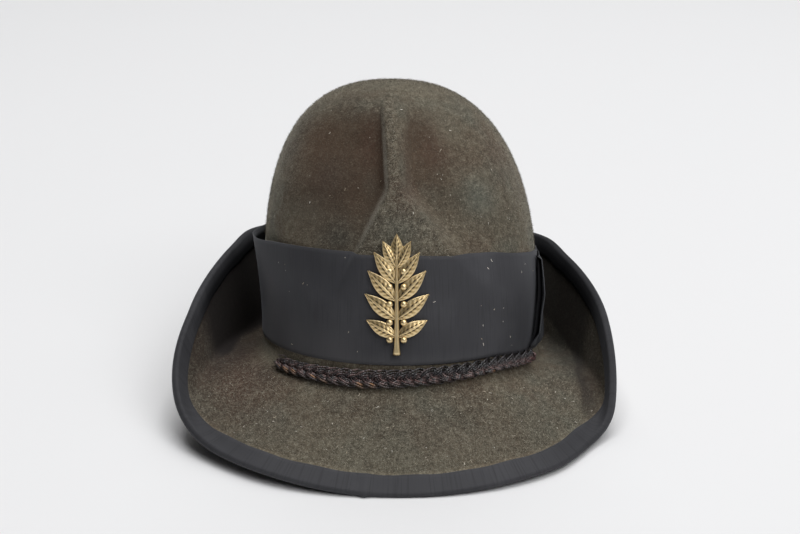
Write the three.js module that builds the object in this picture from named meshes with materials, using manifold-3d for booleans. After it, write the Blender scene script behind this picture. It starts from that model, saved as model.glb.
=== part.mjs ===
// Alpine cap: a felt hood with a pinched crown and a brim that dips in front and turns up at the
// sides and back, trimmed with a ribbon band and bow, a ribbon binding, a braid and a brass sprig.
// Millimetres, +Z up, front towards -Y, wearer's left towards +X, standing on the plane z = 0.
// The cap is drawn upright about its brim line, then leaned back until it rests on brim and nape.

import * as THREE from "three";
import { mergeVertices } from "three/addons/utils/BufferGeometryUtils.js";
import Module from "manifold-3d";

const { clamp, degToRad, lerp, smoothstep } = THREE.MathUtils;

// Felt hood
const HEAD_WIDTH = 150.8; // outside of the felt at the brim line
const HEAD_LENGTH = 187;
const CROWN_HEIGHT = 138.7; // above the brim line
const CROWN_TAPER = 0.03; // share of the width lost by the top
const CROWN_SIDE_POWER = 3.24; // a higher power keeps the sides upright for longer
const CROWN_DOME_POWER = 2.42; // a higher power makes the dome fuller
const CROWN_LEAN = -5.25; // sideways drift of the top
const FELT = 2.2;

// Pinch: two hollows that leave a ridge down the front, splayed towards the band
const PINCH_FOOT = 30; // heights above the brim line where the hollows start, are full, fade and end
const PINCH_FULL = 84;
const PINCH_FADE = 104;
const PINCH_END = 135;
const PINCH_REACH_BACK = 40;
const RIDGE_SPLAY_HEIGHT = 88; // below this the ridge widens
// Hollows at the wearer's right and left. edge: sideways place of the ridge's edge. rise, flat, fall:
// sideways runs from there to the full depth, along it, and out of it again. splay: sideways shift of
// the edge per millimetre of drop.
const HOLLOWS = [
  { side: -1, depth: 14, edge: 3.3, rise: 3.5, flat: 16, fall: 46, splay: 0.54 },
  { side: 1, depth: 12.5, edge: 0.6, rise: 9, flat: 12, fall: 42, splay: 0.8 },
];

// Brim sections round the cap. angle: degrees from the front, + to the wearer's left. floor_tilt and
// wall_tilt: slope of the brim near the crown and past the fold. floor: length up to the fold.
// fold: length of the fold. width: crown to edge along the felt. dip: height of the brim line.
// band_drop: how far the band's upper edge lies below its full height.
const BRIM_SECTIONS = [
  { angle: -180, floor_tilt: 8, floor: 4, fold: 22, wall_tilt: 74, width: 67, dip: 0, band_drop: 0 },
  { angle: -135, floor_tilt: 6, floor: 4, fold: 22, wall_tilt: 73, width: 68.6, dip: 0, band_drop: 0 },
  { angle: -100, floor_tilt: 0, floor: 14, fold: 8, wall_tilt: 84, width: 66.6, dip: 0, band_drop: 1.5 },
  { angle: -75, floor_tilt: -8, floor: 30, fold: 6, wall_tilt: 75.5, width: 63.5, dip: 0, band_drop: 1.5 },
  { angle: -55, floor_tilt: -26, floor: 47, fold: 20, wall_tilt: 43, width: 65, dip: 0, band_drop: 0 },
  { angle: -35, floor_tilt: -35.5, floor: 62, fold: 22, wall_tilt: 0, width: 64.7, dip: 0, band_drop: 0 },
  { angle: 0, floor_tilt: -49.5, floor: 75, fold: 22, wall_tilt: -49.5, width: 63.4, dip: 0, band_drop: 0 },
  { angle: 35, floor_tilt: -40, floor: 62, fold: 22, wall_tilt: 0, width: 63.4, dip: 0, band_drop: 2 },
  { angle: 55, floor_tilt: -33, floor: 48, fold: 18, wall_tilt: 68, width: 57.5, dip: -2.7, band_drop: 2.5 },
  { angle: 75, floor_tilt: -8, floor: 30, fold: 6, wall_tilt: 80.5, width: 64.3, dip: -5.5, band_drop: 2.5 },
  { angle: 100, floor_tilt: 0, floor: 14, fold: 8, wall_tilt: 85.5, width: 67.5, dip: -6.8, band_drop: 2 },
  { angle: 135, floor_tilt: 6, floor: 4, fold: 22, wall_tilt: 75, width: 67.8, dip: -4, band_drop: 0 },
  { angle: 180, floor_tilt: 8, floor: 4, fold: 22, wall_tilt: 74, width: 67, dip: 0, band_drop: 0 },
];
const CROWN_HEADING = -88; // slope of the crown's side where the brim starts
const FILLET_LENGTH = 10; // along the felt, from the crown's side into the brim
const BRIM_STEP = 0.5;

// How it rests: leaned back, with the felt and ribbon pressed flat by this much
const LEAN_BACK = 11;
const PRESS = 0.7;

// Ribbons
const GAP = 0.3; // between neighbouring pieces
const RIBBON = 1;
const BAND_WIDTH = 53.5;
const BAND_RISE = 3.5; // lower edge above the brim line
const BAND_FLARE = 6.2; // how far the upper edge stands off the crown at the wearer's right
const BAND_FLARE_ANGLE = -92;
const BAND_FLARE_SPREAD = 60;
const BINDING_WIDTH = 9; // each face
const BINDING = 0.9;

// Bow on the band at the wearer's left
const BOW_ANGLE = 98;
const BOW_RISE = 2; // above the band's lower edge
const BOW_HEIGHT = 46;
const BOW_SLANT = 21; // its foot lies this much further forward than its top
const LOOP_LENGTH = 52;
const LOOP_CURL = 16; // length of the swollen end
const LOOP_PUFF = 2.4; // half of the end's swell at mid height
const LOOP_SLACK = 0.55; // half of the loop's swell elsewhere
const LOOP_SEAT = 1.2; // inner layer above the band
const LOOP_RIBBON = 0.8;
const PINCH_MIDDLE = 2.4; // middle of the loops above the band, under the knot
const KNOT_WIDTH = 13;
const KNOT_LOW = 0.35; // outer faces of the knot's wrap above the band
const KNOT_HIGH = 4.5;

// Braid along the foot of the crown, from end to end. reach: distance of its middle down the brim.
// lift: clear of the felt's facets, and of the band's edge where it lies over it.
const BRAID_STOPS = [
  { angle: -54, reach: 5.6, half_width: 4.9, lift: 0.55 },
  { angle: -14, reach: 4.8, half_width: 5.6, lift: 0.55 },
  { angle: 61, reach: -0.3, half_width: 5.1, lift: 1.45 },
];
const BRAID_THICKNESS = 4;
const BRAID_PITCH = 8; // length of one plait

// Brass sprig on the front of the band
const SPRIG_MIDDLE = 39; // height above the brim line of the sprig's middle
const SPRIG_ASIDE = -2; // round the band from its front
const SPRIG_RADIUS = 64; // bend round the crown
const SPRIG_STANDOFF = 1.15; // its ends off the ribbon, which swells towards its middle
const STEM = { foot: -30, tip: 20, foot_half: 1.5, tip_half: 0.7, thickness: 1.5 };
// Leaf pairs. base: height on the stem. tilt: degrees from the stem.
const LEAF_PAIRS = [
  { base: -21, tilt: 62, length: 17, width: 7 },
  { base: -12.5, tilt: 52, length: 20, width: 7.6 },
  { base: -3.5, tilt: 44, length: 20.5, width: 7.6 },
  { base: 5, tilt: 36, length: 19, width: 7 },
  { base: 12.5, tilt: 27, length: 15, width: 6 },
];
const TOP_LEAF = { base: 15, tilt: 0, length: 14.5, width: 6.4 };
const LEAF_RIM = 0.7;
const LEAF_RIDGE = 2;
const BERRY_RADIUS = 1.7;
const BERRY_OUT = 3.4; // beside the stem
const BERRY_BELOW = 1.5; // below the foot of each leaf

// Mesh steps
const COLUMNS = 60;
const FRONT_CROWDING = 0.5; // gathers the columns towards the ridge
const DOME_ROWS = 8;
const BAND_ROWS = 3;
const BRIM_ROWS = 8;
const BRIM_ROW_POWER = 1.3;
const LOOP_STEPS = 16;
const LOOP_ROWS = 5;
const BRAID_STEPS = 54;
const LEAF_STEPS = 5;

const semiX = HEAD_WIDTH / 2;
const semiY = HEAD_LENGTH / 2;

// A column of the brim table at any angle: a cubic through the rows that never overshoots them.
function brimValue(column, angle) {
  const rows = BRIM_SECTIONS;
  const last = rows.length - 1;
  const i = clamp(rows.findIndex((row) => row.angle > angle) - 1, 0, last - 1);
  const from = (k) => ((k % last) + last) % last;
  const run = (k) => rows[from(k) + 1].angle - rows[from(k)].angle;
  const slope = (k) => (rows[from(k) + 1][column] - rows[from(k)][column]) / run(k);
  const tangent = (k) => {
    const before = slope(k - 1);
    const after = slope(k);
    return before * after > 0 ? (2 * before * after) / (before + after) : 0;
  };
  const end = angle >= rows[last].angle;
  const t = end ? 1 : (angle - rows[i].angle) / run(i);
  const a = rows[i][column];
  const b = rows[i + 1][column];
  const hermite = t * t * (3 - 2 * t);
  return (
    lerp(a, b, hermite) +
    run(i) * (t * (1 - t) ** 2 * tangent(i) - t * t * (1 - t) * tangent(i + 1))
  );
}

// Depth of the pinch at a point of the smooth crown.
function pinch(x, y, height) {
  const drop = Math.max(RIDGE_SPLAY_HEIGHT - height, 0);
  const up =
    smoothstep(height, PINCH_FOOT, PINCH_FULL) * (1 - smoothstep(height, PINCH_FADE, PINCH_END));
  let total = 0;
  for (const { side, depth, edge, rise, flat, fall, splay } of HOLLOWS) {
    const aside = side * x - edge - splay * drop;
    total += depth * smoothstep(aside, 0, rise) * (1 - smoothstep(aside, flat, flat + fall));
  }
  return total * up * smoothstep(-y, 0, PINCH_REACH_BACK);
}

// A point of the crown's outside.
function crownPoint(angle, height) {
  const rise = clamp(height / CROWN_HEIGHT, 0, 1);
  const dome = (1 - rise ** CROWN_SIDE_POWER) ** (1 / CROWN_DOME_POWER);
  const share = (1 - CROWN_TAPER * rise) * dome;
  const x = semiX * Math.sin(degToRad(angle)) * share;
  const y = -semiY * Math.cos(degToRad(angle)) * share;
  return new THREE.Vector3(x + CROWN_LEAN * rise ** 2, y + pinch(x, y, height), height);
}

// Slope of the brim's section at a distance from the brim line.
function brimHeading(section, reach) {
  const folded = smoothstep(reach, section.floor, section.floor + section.fold);
  const heading = lerp(section.floor_tilt, section.wall_tilt, folded);
  return degToRad(lerp(CROWN_HEADING, heading, smoothstep(reach, 0, FILLET_LENGTH)));
}

// A point of the brim's upper face, at a distance from the brim line.
function brimPoint(angle, reach) {
  const section = {};
  for (const column of ["floor_tilt", "floor", "fold", "wall_tilt", "dip"])
    section[column] = brimValue(column, angle);
  const steps = Math.max(1, Math.ceil(reach / BRIM_STEP));
  const step = reach / steps;
  let out = 0;
  let up = section.dip;
  for (let i = 0; i < steps; i++) {
    const heading = brimHeading(section, (i + 0.5) * step);
    out += step * Math.cos(heading);
    up += step * Math.sin(heading);
  }
  const turn = degToRad(angle);
  const away = new THREE.Vector2(Math.sin(turn) / semiX, -Math.cos(turn) / semiY).normalize();
  return new THREE.Vector3(
    semiX * Math.sin(turn) + away.x * out,
    -semiY * Math.cos(turn) + away.y * out,
    up,
  );
}

// Outward normal of a surface given as point(angle, along), where along runs down and outwards.
function normalAt(point, angle, along) {
  const nudge = 0.2;
  const round = point(angle + nudge, along).sub(point(angle - nudge, along));
  const down = point(angle, along + nudge).sub(point(angle, along - nudge));
  return down.cross(round).normalize();
}

// The crown's outside by depth below the top, so that it runs downwards as the brim runs outwards.
const crownByDepth = (angle, depth) => crownPoint(angle, CROWN_HEIGHT - depth);

function offCrown(angle, height, distance) {
  const normal = normalAt(crownByDepth, angle, CROWN_HEIGHT - height);
  return crownPoint(angle, height).addScaledVector(normal, distance);
}

function offBrim(angle, reach, distance) {
  const normal = normalAt(brimPoint, angle, reach);
  return brimPoint(angle, reach).addScaledVector(normal, distance);
}

// Columns round the cap, closer together at the front.
const columnAngles = Array.from({ length: COLUMNS }, (_, i) => {
  const even = 2 * Math.PI * (i / COLUMNS) - Math.PI;
  return THREE.MathUtils.radToDeg(even - FRONT_CROWDING * Math.sin(even));
});

const bandBottom = (angle) => brimValue("dip", angle) + BAND_RISE;
const bandWidth = (angle) => BAND_WIDTH - brimValue("band_drop", angle);
const bandHeight = (angle, share) => bandBottom(angle) + share * bandWidth(angle);

// Distances from the brim line of the rows under the binding: its edge, middle and the brim's edge.
function bindingReaches(angle) {
  const width = brimValue("width", angle);
  return [width - BINDING_WIDTH, width - BINDING_WIDTH / 2, width];
}

// A closed solid through loops of points, one loop after another, round to the first or capped.
// Each four-cornered face is split along the diagonal that runs more from front to back, as the
// brim's folds do.
function sweep(loops, round) {
  const count = loops[0].length;
  const corners = [];
  const face = (a, b, c) => {
    const flat = a.distanceTo(b) * b.distanceTo(c) * c.distanceTo(a) === 0;
    if (!flat) corners.push(a, b, c);
  };
  const spans = round ? loops.length : loops.length - 1;
  for (let i = 0; i < spans; i++) {
    const here = loops[i];
    const next = loops[(i + 1) % loops.length];
    for (let j = 0; j < count; j++) {
      const k = (j + 1) % count;
      if (Math.abs(here[j].y - next[k].y) >= Math.abs(here[k].y - next[j].y)) {
        face(here[j], next[j], next[k]);
        face(here[j], next[k], here[k]);
      } else {
        face(here[j], next[j], here[k]);
        face(here[k], next[j], next[k]);
      }
    }
  }
  if (!round)
    for (const [loop, first] of [[loops[0], true], [loops.at(-1), false]]) {
      const middle = loop.reduce((sum, p) => sum.add(p), new THREE.Vector3()).divideScalar(count);
      for (let j = 0; j < count; j++) {
        const k = (j + 1) % count;
        if (first) face(middle, loop[j], loop[k]);
        else face(middle, loop[k], loop[j]);
      }
    }
  let volume = 0;
  for (let i = 0; i < corners.length; i += 3)
    volume += corners[i].dot(corners[i + 1].clone().cross(corners[i + 2]));
  if (volume < 0)
    for (let i = 0; i < corners.length; i += 3)
      [corners[i + 1], corners[i + 2]] = [corners[i + 2], corners[i + 1]];
  return mergeVertices(new THREE.BufferGeometry().setFromPoints(corners), 1e-4);
}

// Felt hood: the outside from the top to the brim's edge, and back along the inside.
function feltHood() {
  const apex = new THREE.Vector3(CROWN_LEAN, 0, CROWN_HEIGHT);
  const apexInside = apex.clone().setZ(CROWN_HEIGHT - FELT);
  return sweep(
    columnAngles.map((angle) => {
      const heights = [];
      const top = bandHeight(angle, 1);
      for (let i = 1; i <= DOME_ROWS; i++)
        heights.push(top + (CROWN_HEIGHT - top) * Math.cos((i / DOME_ROWS) * (Math.PI / 2)));
      for (let i = BAND_ROWS - 1; i >= 0; i--) heights.push(bandHeight(angle, i / BAND_ROWS));
      const [bindingEdge, bindingMiddle, edge] = bindingReaches(angle);
      const reaches = [0];
      for (let i = 1; i <= BRIM_ROWS; i++)
        reaches.push(bindingEdge * (i / BRIM_ROWS) ** BRIM_ROW_POWER);
      reaches.push(bindingMiddle, edge);
      const face = (distance) => [
        ...heights.map((height) => offCrown(angle, height, distance)),
        ...reaches.map((reach) => offBrim(angle, reach, distance)),
      ];
      return [apex, ...face(0), ...face(-FELT).reverse(), apexInside];
    }),
    true,
  );
}

// Ribbon band: snug at the foot, its upper edge standing off the crown at the wearer's right.
function hatBand() {
  return sweep(
    columnAngles.map((angle) => {
      const away = Math.abs(angle - BAND_FLARE_ANGLE);
      const flare = BAND_FLARE * (1 - smoothstep(away, 0, BAND_FLARE_SPREAD));
      const face = (distance) =>
        Array.from({ length: BAND_ROWS + 1 }, (_, i) => {
          const share = 1 - i / BAND_ROWS;
          return offCrown(angle, bandHeight(angle, share), distance + flare * share ** 2);
        });
      return [...face(GAP), ...face(GAP + RIBBON).reverse()];
    }),
    true,
  );
}

// Ribbon folded over the brim's edge.
function brimBinding() {
  const near = GAP;
  const far = GAP + BINDING;
  return sweep(
    columnAngles.map((angle) => {
      const [start, middle, edge] = bindingReaches(angle);
      const at = (reach, distance) => offBrim(angle, reach, distance);
      return [
        at(start, near),
        at(middle, near),
        at(edge + near, near),
        at(edge + near, -FELT - near),
        at(middle, -FELT - near),
        at(start, -FELT - near),
        at(start, -FELT - far),
        at(middle, -FELT - far),
        at(edge, -FELT - far),
        at(edge + far, -FELT - near),
        at(edge + far, near),
        at(edge, far),
        at(middle, far),
        at(start, far),
      ];
    }),
    true,
  );
}

// A point beside the band: along the ribbon from the bow's middle, up from its lower edge, and off it.
function besideBand(along, up, off) {
  const leaned = along + BOW_SLANT * (up / BOW_HEIGHT - 0.5);
  const angle = BOW_ANGLE + THREE.MathUtils.radToDeg(leaned / semiY);
  return offCrown(angle, bandBottom(angle) + BOW_RISE + up, GAP + RIBBON + off);
}

// One loop of the bow, towards the front (side -1) or the back (side +1), with a swollen end.
function bowLoop(side) {
  const ribbonFace = (turn, outward) =>
    Array.from({ length: LOOP_ROWS + 1 }, (_, i) => {
      const share = i / LOOP_ROWS;
      const half = LOOP_LENGTH / 2 + (outward * LOOP_RIBBON) / 2;
      const along = LOOP_LENGTH / 2 + LOOP_RIBBON - half * Math.cos(turn);
      const free = smoothstep(along, KNOT_WIDTH / 2, LOOP_LENGTH);
      const curl = smoothstep(along, LOOP_LENGTH - LOOP_CURL, LOOP_LENGTH);
      const swell = LOOP_SLACK + LOOP_PUFF * Math.sin(Math.PI * share) * curl;
      const middle = lerp(PINCH_MIDDLE, LOOP_SEAT + swell, free);
      const off = middle + (swell + (outward * LOOP_RIBBON) / 2) * Math.sin(turn);
      return besideBand(side * along, share * BOW_HEIGHT, off);
    });
  return sweep(
    Array.from({ length: LOOP_STEPS }, (_, i) => {
      const turn = (i / LOOP_STEPS) * 2 * Math.PI;
      return [...ribbonFace(turn, 1), ...ribbonFace(turn, -1).reverse()];
    }),
    true,
  );
}

// Ribbon wrapped round the middle of the bow.
function bowKnot() {
  const inner = GAP;
  const outer = GAP + LOOP_RIBBON;
  const top = BOW_HEIGHT;
  const low = KNOT_LOW + LOOP_RIBBON;
  const high = KNOT_HIGH - LOOP_RIBBON;
  const corners = [
    { up: -outer, off: KNOT_LOW, up_in: -inner, off_in: low },
    { up: top + outer, off: KNOT_LOW, up_in: top + inner, off_in: low },
    { up: top + outer, off: KNOT_HIGH, up_in: top + inner, off_in: high },
    { up: -outer, off: KNOT_HIGH, up_in: -inner, off_in: high },
  ];
  const sides = [-KNOT_WIDTH / 2, 0, KNOT_WIDTH / 2];
  const perLeg = 4;
  const loops = [];
  corners.forEach((corner, i) => {
    const next = corners[(i + 1) % corners.length];
    for (let step = 0; step < perLeg; step++) {
      const t = step / perLeg;
      const outside = sides.map((along) =>
        besideBand(along, lerp(corner.up, next.up, t), lerp(corner.off, next.off, t)),
      );
      const inside = sides.map((along) =>
        besideBand(along, lerp(corner.up_in, next.up_in, t), lerp(corner.off_in, next.off_in, t)),
      );
      loops.push([...outside, ...inside.reverse()]);
    }
  });
  return sweep(loops, true);
}

// Braid: two plaited lobes side by side, laid along the foot of the crown.
function frontBraid() {
  const [start, middle, end] = BRAID_STOPS;
  const route = (t) => {
    const angle = lerp(start.angle, end.angle, t);
    const tip = angle < middle.angle ? start : end;
    const share = (angle - middle.angle) / (tip.angle - middle.angle);
    const stop = { angle };
    for (const size of ["reach", "half_width", "lift"]) stop[size] = lerp(middle[size], tip[size], share);
    return stop;
  };
  const length = degToRad(end.angle - start.angle) * (semiX + semiY) / 2;
  return sweep(
    Array.from({ length: BRAID_STEPS + 1 }, (_, i) => {
      const t = i / BRAID_STEPS;
      const { angle, reach, half_width, lift } = route(t);
      const at = (across, up) =>
        offBrim(angle, reach + across * half_width, lift + up * BRAID_THICKNESS);
      const plait = (phase) =>
        0.88 + 0.12 * Math.sin(2 * Math.PI * ((t * length) / BRAID_PITCH + phase));
      const left = plait(0);
      const right = plait(0.5);
      return [
        at(-0.55, 0),
        at(-left, 0.35),
        at(-0.85, 0.8),
        at(-0.5, left),
        at(-0.12, 0.82),
        at(0.12, 0.82),
        at(0.5, right),
        at(0.85, 0.8),
        at(right, 0.35),
        at(0.55, 0),
      ];
    }),
    false,
  );
}

const wasm = await Module();
wasm.setup();

// A geometry as a solid that can be joined to others.
function solid(geometry) {
  const bare = new THREE.BufferGeometry();
  bare.setAttribute("position", geometry.getAttribute("position").clone());
  bare.setIndex(geometry.index);
  const merged = mergeVertices(bare, 1e-4);
  return new wasm.Manifold(
    new wasm.Mesh({
      numProp: 3,
      vertProperties: merged.getAttribute("position").array,
      triVerts: new Uint32Array(merged.index.array),
    }),
  );
}

function joined(geometries) {
  const mesh = geometries.map(solid).reduce((sum, one) => sum.add(one)).getMesh();
  const made = new THREE.BufferGeometry();
  made.setAttribute("position", new THREE.BufferAttribute(mesh.vertProperties, 3));
  made.setIndex(new THREE.BufferAttribute(mesh.triVerts, 1));
  return made;
}

// A point of the sprig, bent round the front of the band: across, up from its middle, and out.
function sprigPoint(across, up, out) {
  const slope = (bandFront(1) - bandFront(0)) / BAND_WIDTH;
  const front = bandFront(0) + slope * (SPRIG_MIDDLE + up - bandHeight(0, 0)) - SPRIG_STANDOFF;
  const turn = (across + SPRIG_ASIDE) / SPRIG_RADIUS;
  return new THREE.Vector3(
    (SPRIG_RADIUS + out) * Math.sin(turn),
    front + SPRIG_RADIUS - (SPRIG_RADIUS + out) * Math.cos(turn),
    SPRIG_MIDDLE + up,
  );
}
const bandFront = (share) => offCrown(0, bandHeight(0, share), GAP + RIBBON).y;

// A pointed leaf with a raised midrib, growing from the stem on one side.
function leaf({ base, tilt, length, width }, side) {
  const lean = degToRad(tilt);
  return sweep(
    Array.from({ length: LEAF_STEPS + 1 }, (_, i) => {
      const t = lerp(0.02, 0.99, i / LEAF_STEPS);
      const half = (width / 2) * Math.sin(Math.PI * t ** 0.85);
      const ridge = LEAF_RIM + (LEAF_RIDGE - LEAF_RIM) * Math.sin(Math.PI * t ** 0.7);
      const at = (aside, out) => {
        const across = t * length * Math.sin(lean) - aside * Math.cos(lean);
        const up = t * length * Math.cos(lean) + aside * Math.sin(lean);
        return sprigPoint(side * across, base + up, out);
      };
      return [at(-half, 0), at(-half, LEAF_RIM), at(0, ridge), at(half, LEAF_RIM), at(half, 0)];
    }),
    false,
  );
}

function stem() {
  const rows = 5;
  return sweep(
    Array.from({ length: rows + 1 }, (_, i) => {
      const up = lerp(STEM.foot, STEM.tip, i / rows);
      const half = lerp(STEM.foot_half, STEM.tip_half, i / rows);
      return [
        sprigPoint(-half, up, 0),
        sprigPoint(-half, up, STEM.thickness * 0.6),
        sprigPoint(0, up, STEM.thickness),
        sprigPoint(half, up, STEM.thickness * 0.6),
        sprigPoint(half, up, 0),
      ];
    }),
    false,
  );
}

function berry(across, up) {
  const rows = 3;
  const sides = 6;
  return sweep(
    Array.from({ length: rows + 1 }, (_, i) => {
      const lift = lerp(0, 0.47 * Math.PI, i / rows);
      const ring = BERRY_RADIUS * Math.cos(lift);
      const out = i === 0 ? 0 : LEAF_RIM + BERRY_RADIUS * Math.sin(lift) * 0.9;
      return Array.from({ length: sides }, (_, j) => {
        const turn = (j / sides) * 2 * Math.PI;
        return sprigPoint(across + ring * Math.cos(turn), up + ring * Math.sin(turn), out);
      });
    }),
    false,
  );
}

function brassSprig() {
  const pieces = [stem(), leaf(TOP_LEAF, 1)];
  for (const pair of LEAF_PAIRS)
    for (const side of [-1, 1])
      pieces.push(leaf(pair, side), berry(side * BERRY_OUT, pair.base - BERRY_BELOW));
  return joined(pieces);
}

const felt = new THREE.MeshStandardMaterial({ color: 0x3f3d33, roughness: 0.95, metalness: 0 });
const ribbon = new THREE.MeshStandardMaterial({ color: 0x232427, roughness: 0.75, metalness: 0 });
const cord = new THREE.MeshStandardMaterial({ color: 0x261b1a, roughness: 0.7, metalness: 0 });
const brass = new THREE.MeshStandardMaterial({ color: 0x9a7a3c, roughness: 0.35, metalness: 1 });

const pieces = [
  { name: "felt_hood", geometry: feltHood(), material: felt },
  { name: "hat_band", geometry: hatBand(), material: ribbon },
  { name: "bow_loop_front", geometry: bowLoop(-1), material: ribbon },
  { name: "bow_loop_back", geometry: bowLoop(1), material: ribbon },
  { name: "bow_knot", geometry: bowKnot(), material: ribbon },
  { name: "brim_binding", geometry: brimBinding(), material: ribbon },
  { name: "front_braid", geometry: frontBraid(), material: cord },
  { name: "brass_sprig", geometry: brassSprig(), material: brass },
];

// Leans every piece back together, centres them over the origin, sets them on the plane and presses
// flat what would sink below it.
function settle(geometries) {
  const lean = new THREE.Matrix4().makeRotationX(-degToRad(LEAN_BACK));
  const bounds = new THREE.Box3();
  for (const geometry of geometries) {
    geometry.applyMatrix4(lean);
    geometry.computeBoundingBox();
    bounds.union(geometry.boundingBox);
  }
  const middle = bounds.getCenter(new THREE.Vector3());
  for (const geometry of geometries) {
    geometry.translate(-middle.x, -middle.y, -bounds.min.z - PRESS);
    const position = geometry.getAttribute("position");
    for (let i = 0; i < position.count; i++) position.setZ(i, Math.max(position.getZ(i), 0));
  }
}
settle(pieces.map((piece) => piece.geometry));

const cap = new THREE.Group();
for (const { name, geometry, material } of pieces) {
  const mesh = new THREE.Mesh(geometry, material);
  mesh.name = name;
  cap.add(mesh);
}

export default cap;
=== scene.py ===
"""Visual model of an alpine cap: a napped felt hood with ribbons, a bow, a braid and a brass sprig.

The forms are worked out in millimetres, upright about the brim line, and then leaned back and set
on the floor as the solids are. Angles run round the cap in degrees from the front, positive towards
the wearer's left. A reach is a distance over the brim's felt from the brim line.
"""

import logging
import math
from dataclasses import dataclass, field
from enum import Enum
from typing import Callable, Sequence

import bpy
import numpy as np
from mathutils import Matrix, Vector


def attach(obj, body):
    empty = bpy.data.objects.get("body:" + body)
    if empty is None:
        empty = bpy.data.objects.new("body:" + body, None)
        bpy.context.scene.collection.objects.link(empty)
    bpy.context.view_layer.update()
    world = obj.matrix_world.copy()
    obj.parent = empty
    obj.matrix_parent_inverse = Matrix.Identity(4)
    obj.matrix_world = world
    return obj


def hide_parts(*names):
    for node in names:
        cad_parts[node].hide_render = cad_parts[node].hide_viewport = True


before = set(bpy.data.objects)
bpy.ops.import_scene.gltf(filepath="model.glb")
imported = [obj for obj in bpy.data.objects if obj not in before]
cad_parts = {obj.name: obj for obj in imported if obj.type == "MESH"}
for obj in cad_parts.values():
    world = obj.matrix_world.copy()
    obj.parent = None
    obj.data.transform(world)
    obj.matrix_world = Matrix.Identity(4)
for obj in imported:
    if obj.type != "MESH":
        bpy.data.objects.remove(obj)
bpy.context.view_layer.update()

LOG = logging.getLogger("alpine_cap")
MM = 0.001
TINY = 1e-9
BODY = "root"
CLOTH = "cloth"

Array = np.ndarray
Span = tuple[float, float]
Colour = tuple[float, float, float]
Point = tuple[float, float, float]
Marks = dict[str, Array]
Settings = dict[str, object]
Inputs = dict[str | int, object]
Piece = bpy.types.Object
Socket = bpy.types.NodeSocket
Random = np.random.Generator


class Slot(Enum):
    """Material slots of the record."""

    FELT = "felt"
    RIBBON = "ribbon"
    BRAID = "braid"
    BRASS = "brass"


class Side(Enum):
    """Which way a loop of the bow points along the band."""

    FRONT = -1
    BACK = 1


class Hand(Enum):
    """Side of the cap, as its wearer has it."""

    RIGHT = -1
    LEFT = 1


class Tint(Enum):
    """Tint of a painted patch, with the name of its mark; the patches paint light and shade and shift the
    hue as well.
    """

    # Darker and warmer: painted shade with a warmer hue.
    RUST = "rust"
    # Darker: painted shade.
    DIM = "dim"
    # The pale patches are painted light, though the name of their mark is worn.
    PALE = "worn"
    GREEN = "green"


class Zone(Enum):
    """Parts of the cap that carry painted patches of light, shade and hue, with the names of the pieces
    that show them.
    """

    CROWN = "crown_nap"
    BRIM = "brim_nap"
    BAND = "band"


def smoothstep(x: Array, low: float, high: float) -> Array:
    """Eases from 0 where x is low to 1 where it is high."""
    t = np.clip((np.asarray(x, float) - low) / (high - low), 0.0, 1.0)
    return t * t * (3.0 - 2.0 * t)


def mixed(a: Array, b: Array, share: Array) -> Array:
    """Blends from a to b by a share."""
    return a + (b - a) * share


def unit(vectors: Array) -> Array:
    """Vectors of length 1, with coordinates along the last axis."""
    return vectors / np.maximum(np.linalg.norm(vectors, axis=-1, keepdims=True), TINY)


def circle(count: int) -> Array:
    """Angles of places spread evenly round a circle, in radians."""
    return 2 * np.pi * np.arange(count) / count


def bell(x: Array, middle: float, width: float) -> Array:
    """A bell curve that is 1 at its middle."""
    return np.exp(-(((x - middle) / width) ** 2))


def distances(line: Array, closed: bool = False) -> Array:
    """Distance of each point along a line from the first, and of the first again on a closed line."""
    whole = np.vstack([line, line[:1]]) if closed else line
    return np.concatenate([[0], np.cumsum(np.linalg.norm(np.diff(whole, axis=0), axis=1))])


def interpolated(rows: Sequence[object], key: str, column: str, at: Array) -> Array:
    """Values of a column of rows, in straight lines between the places that the key gives the rows."""
    return np.interp(at, [getattr(row, key) for row in rows], [getattr(row, column) for row in rows])


@dataclass(frozen=True)
class Ease:
    """A value that eases between two places and is steady beyond them.

    Attributes:
        low: Place where it starts to change.
        high: Place where the change ends.
        start: Value up to the first place.
        end: Value past the second place.
    """

    low: float
    high: float
    start: float = 0.0
    end: float = 1.0

    def __call__(self, x: Array) -> Array:
        """Values at the given places."""
        return mixed(self.start, self.end, smoothstep(x, self.low, self.high))


@dataclass(frozen=True)
class Wave:
    """A small wave round the cap: its size, how many go round, and its phase in radians."""

    size: float
    count: float
    phase: float = 0.0

    def at(self, angle: Array) -> Array:
        """Heights of the wave at the given angles."""
        return self.size * np.sin(np.radians(angle) * self.count + self.phase)


@dataclass(frozen=True)
class BrimSection:
    """One section of the brim, as a row of the table that shapes it.

    Attributes:
        angle: Degrees round from the front.
        floor_tilt: Slope of the brim near the crown.
        floor: Reach of the fold's start.
        fold: Length of the fold.
        wall_tilt: Slope past the fold.
        width: Reach of the edge.
        dip: Height of the brim line.
        band_drop: How far the band's upper edge lies below its full height.
    """

    angle: float
    floor_tilt: float
    floor: float
    fold: float
    wall_tilt: float
    width: float
    dip: float
    band_drop: float


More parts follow.
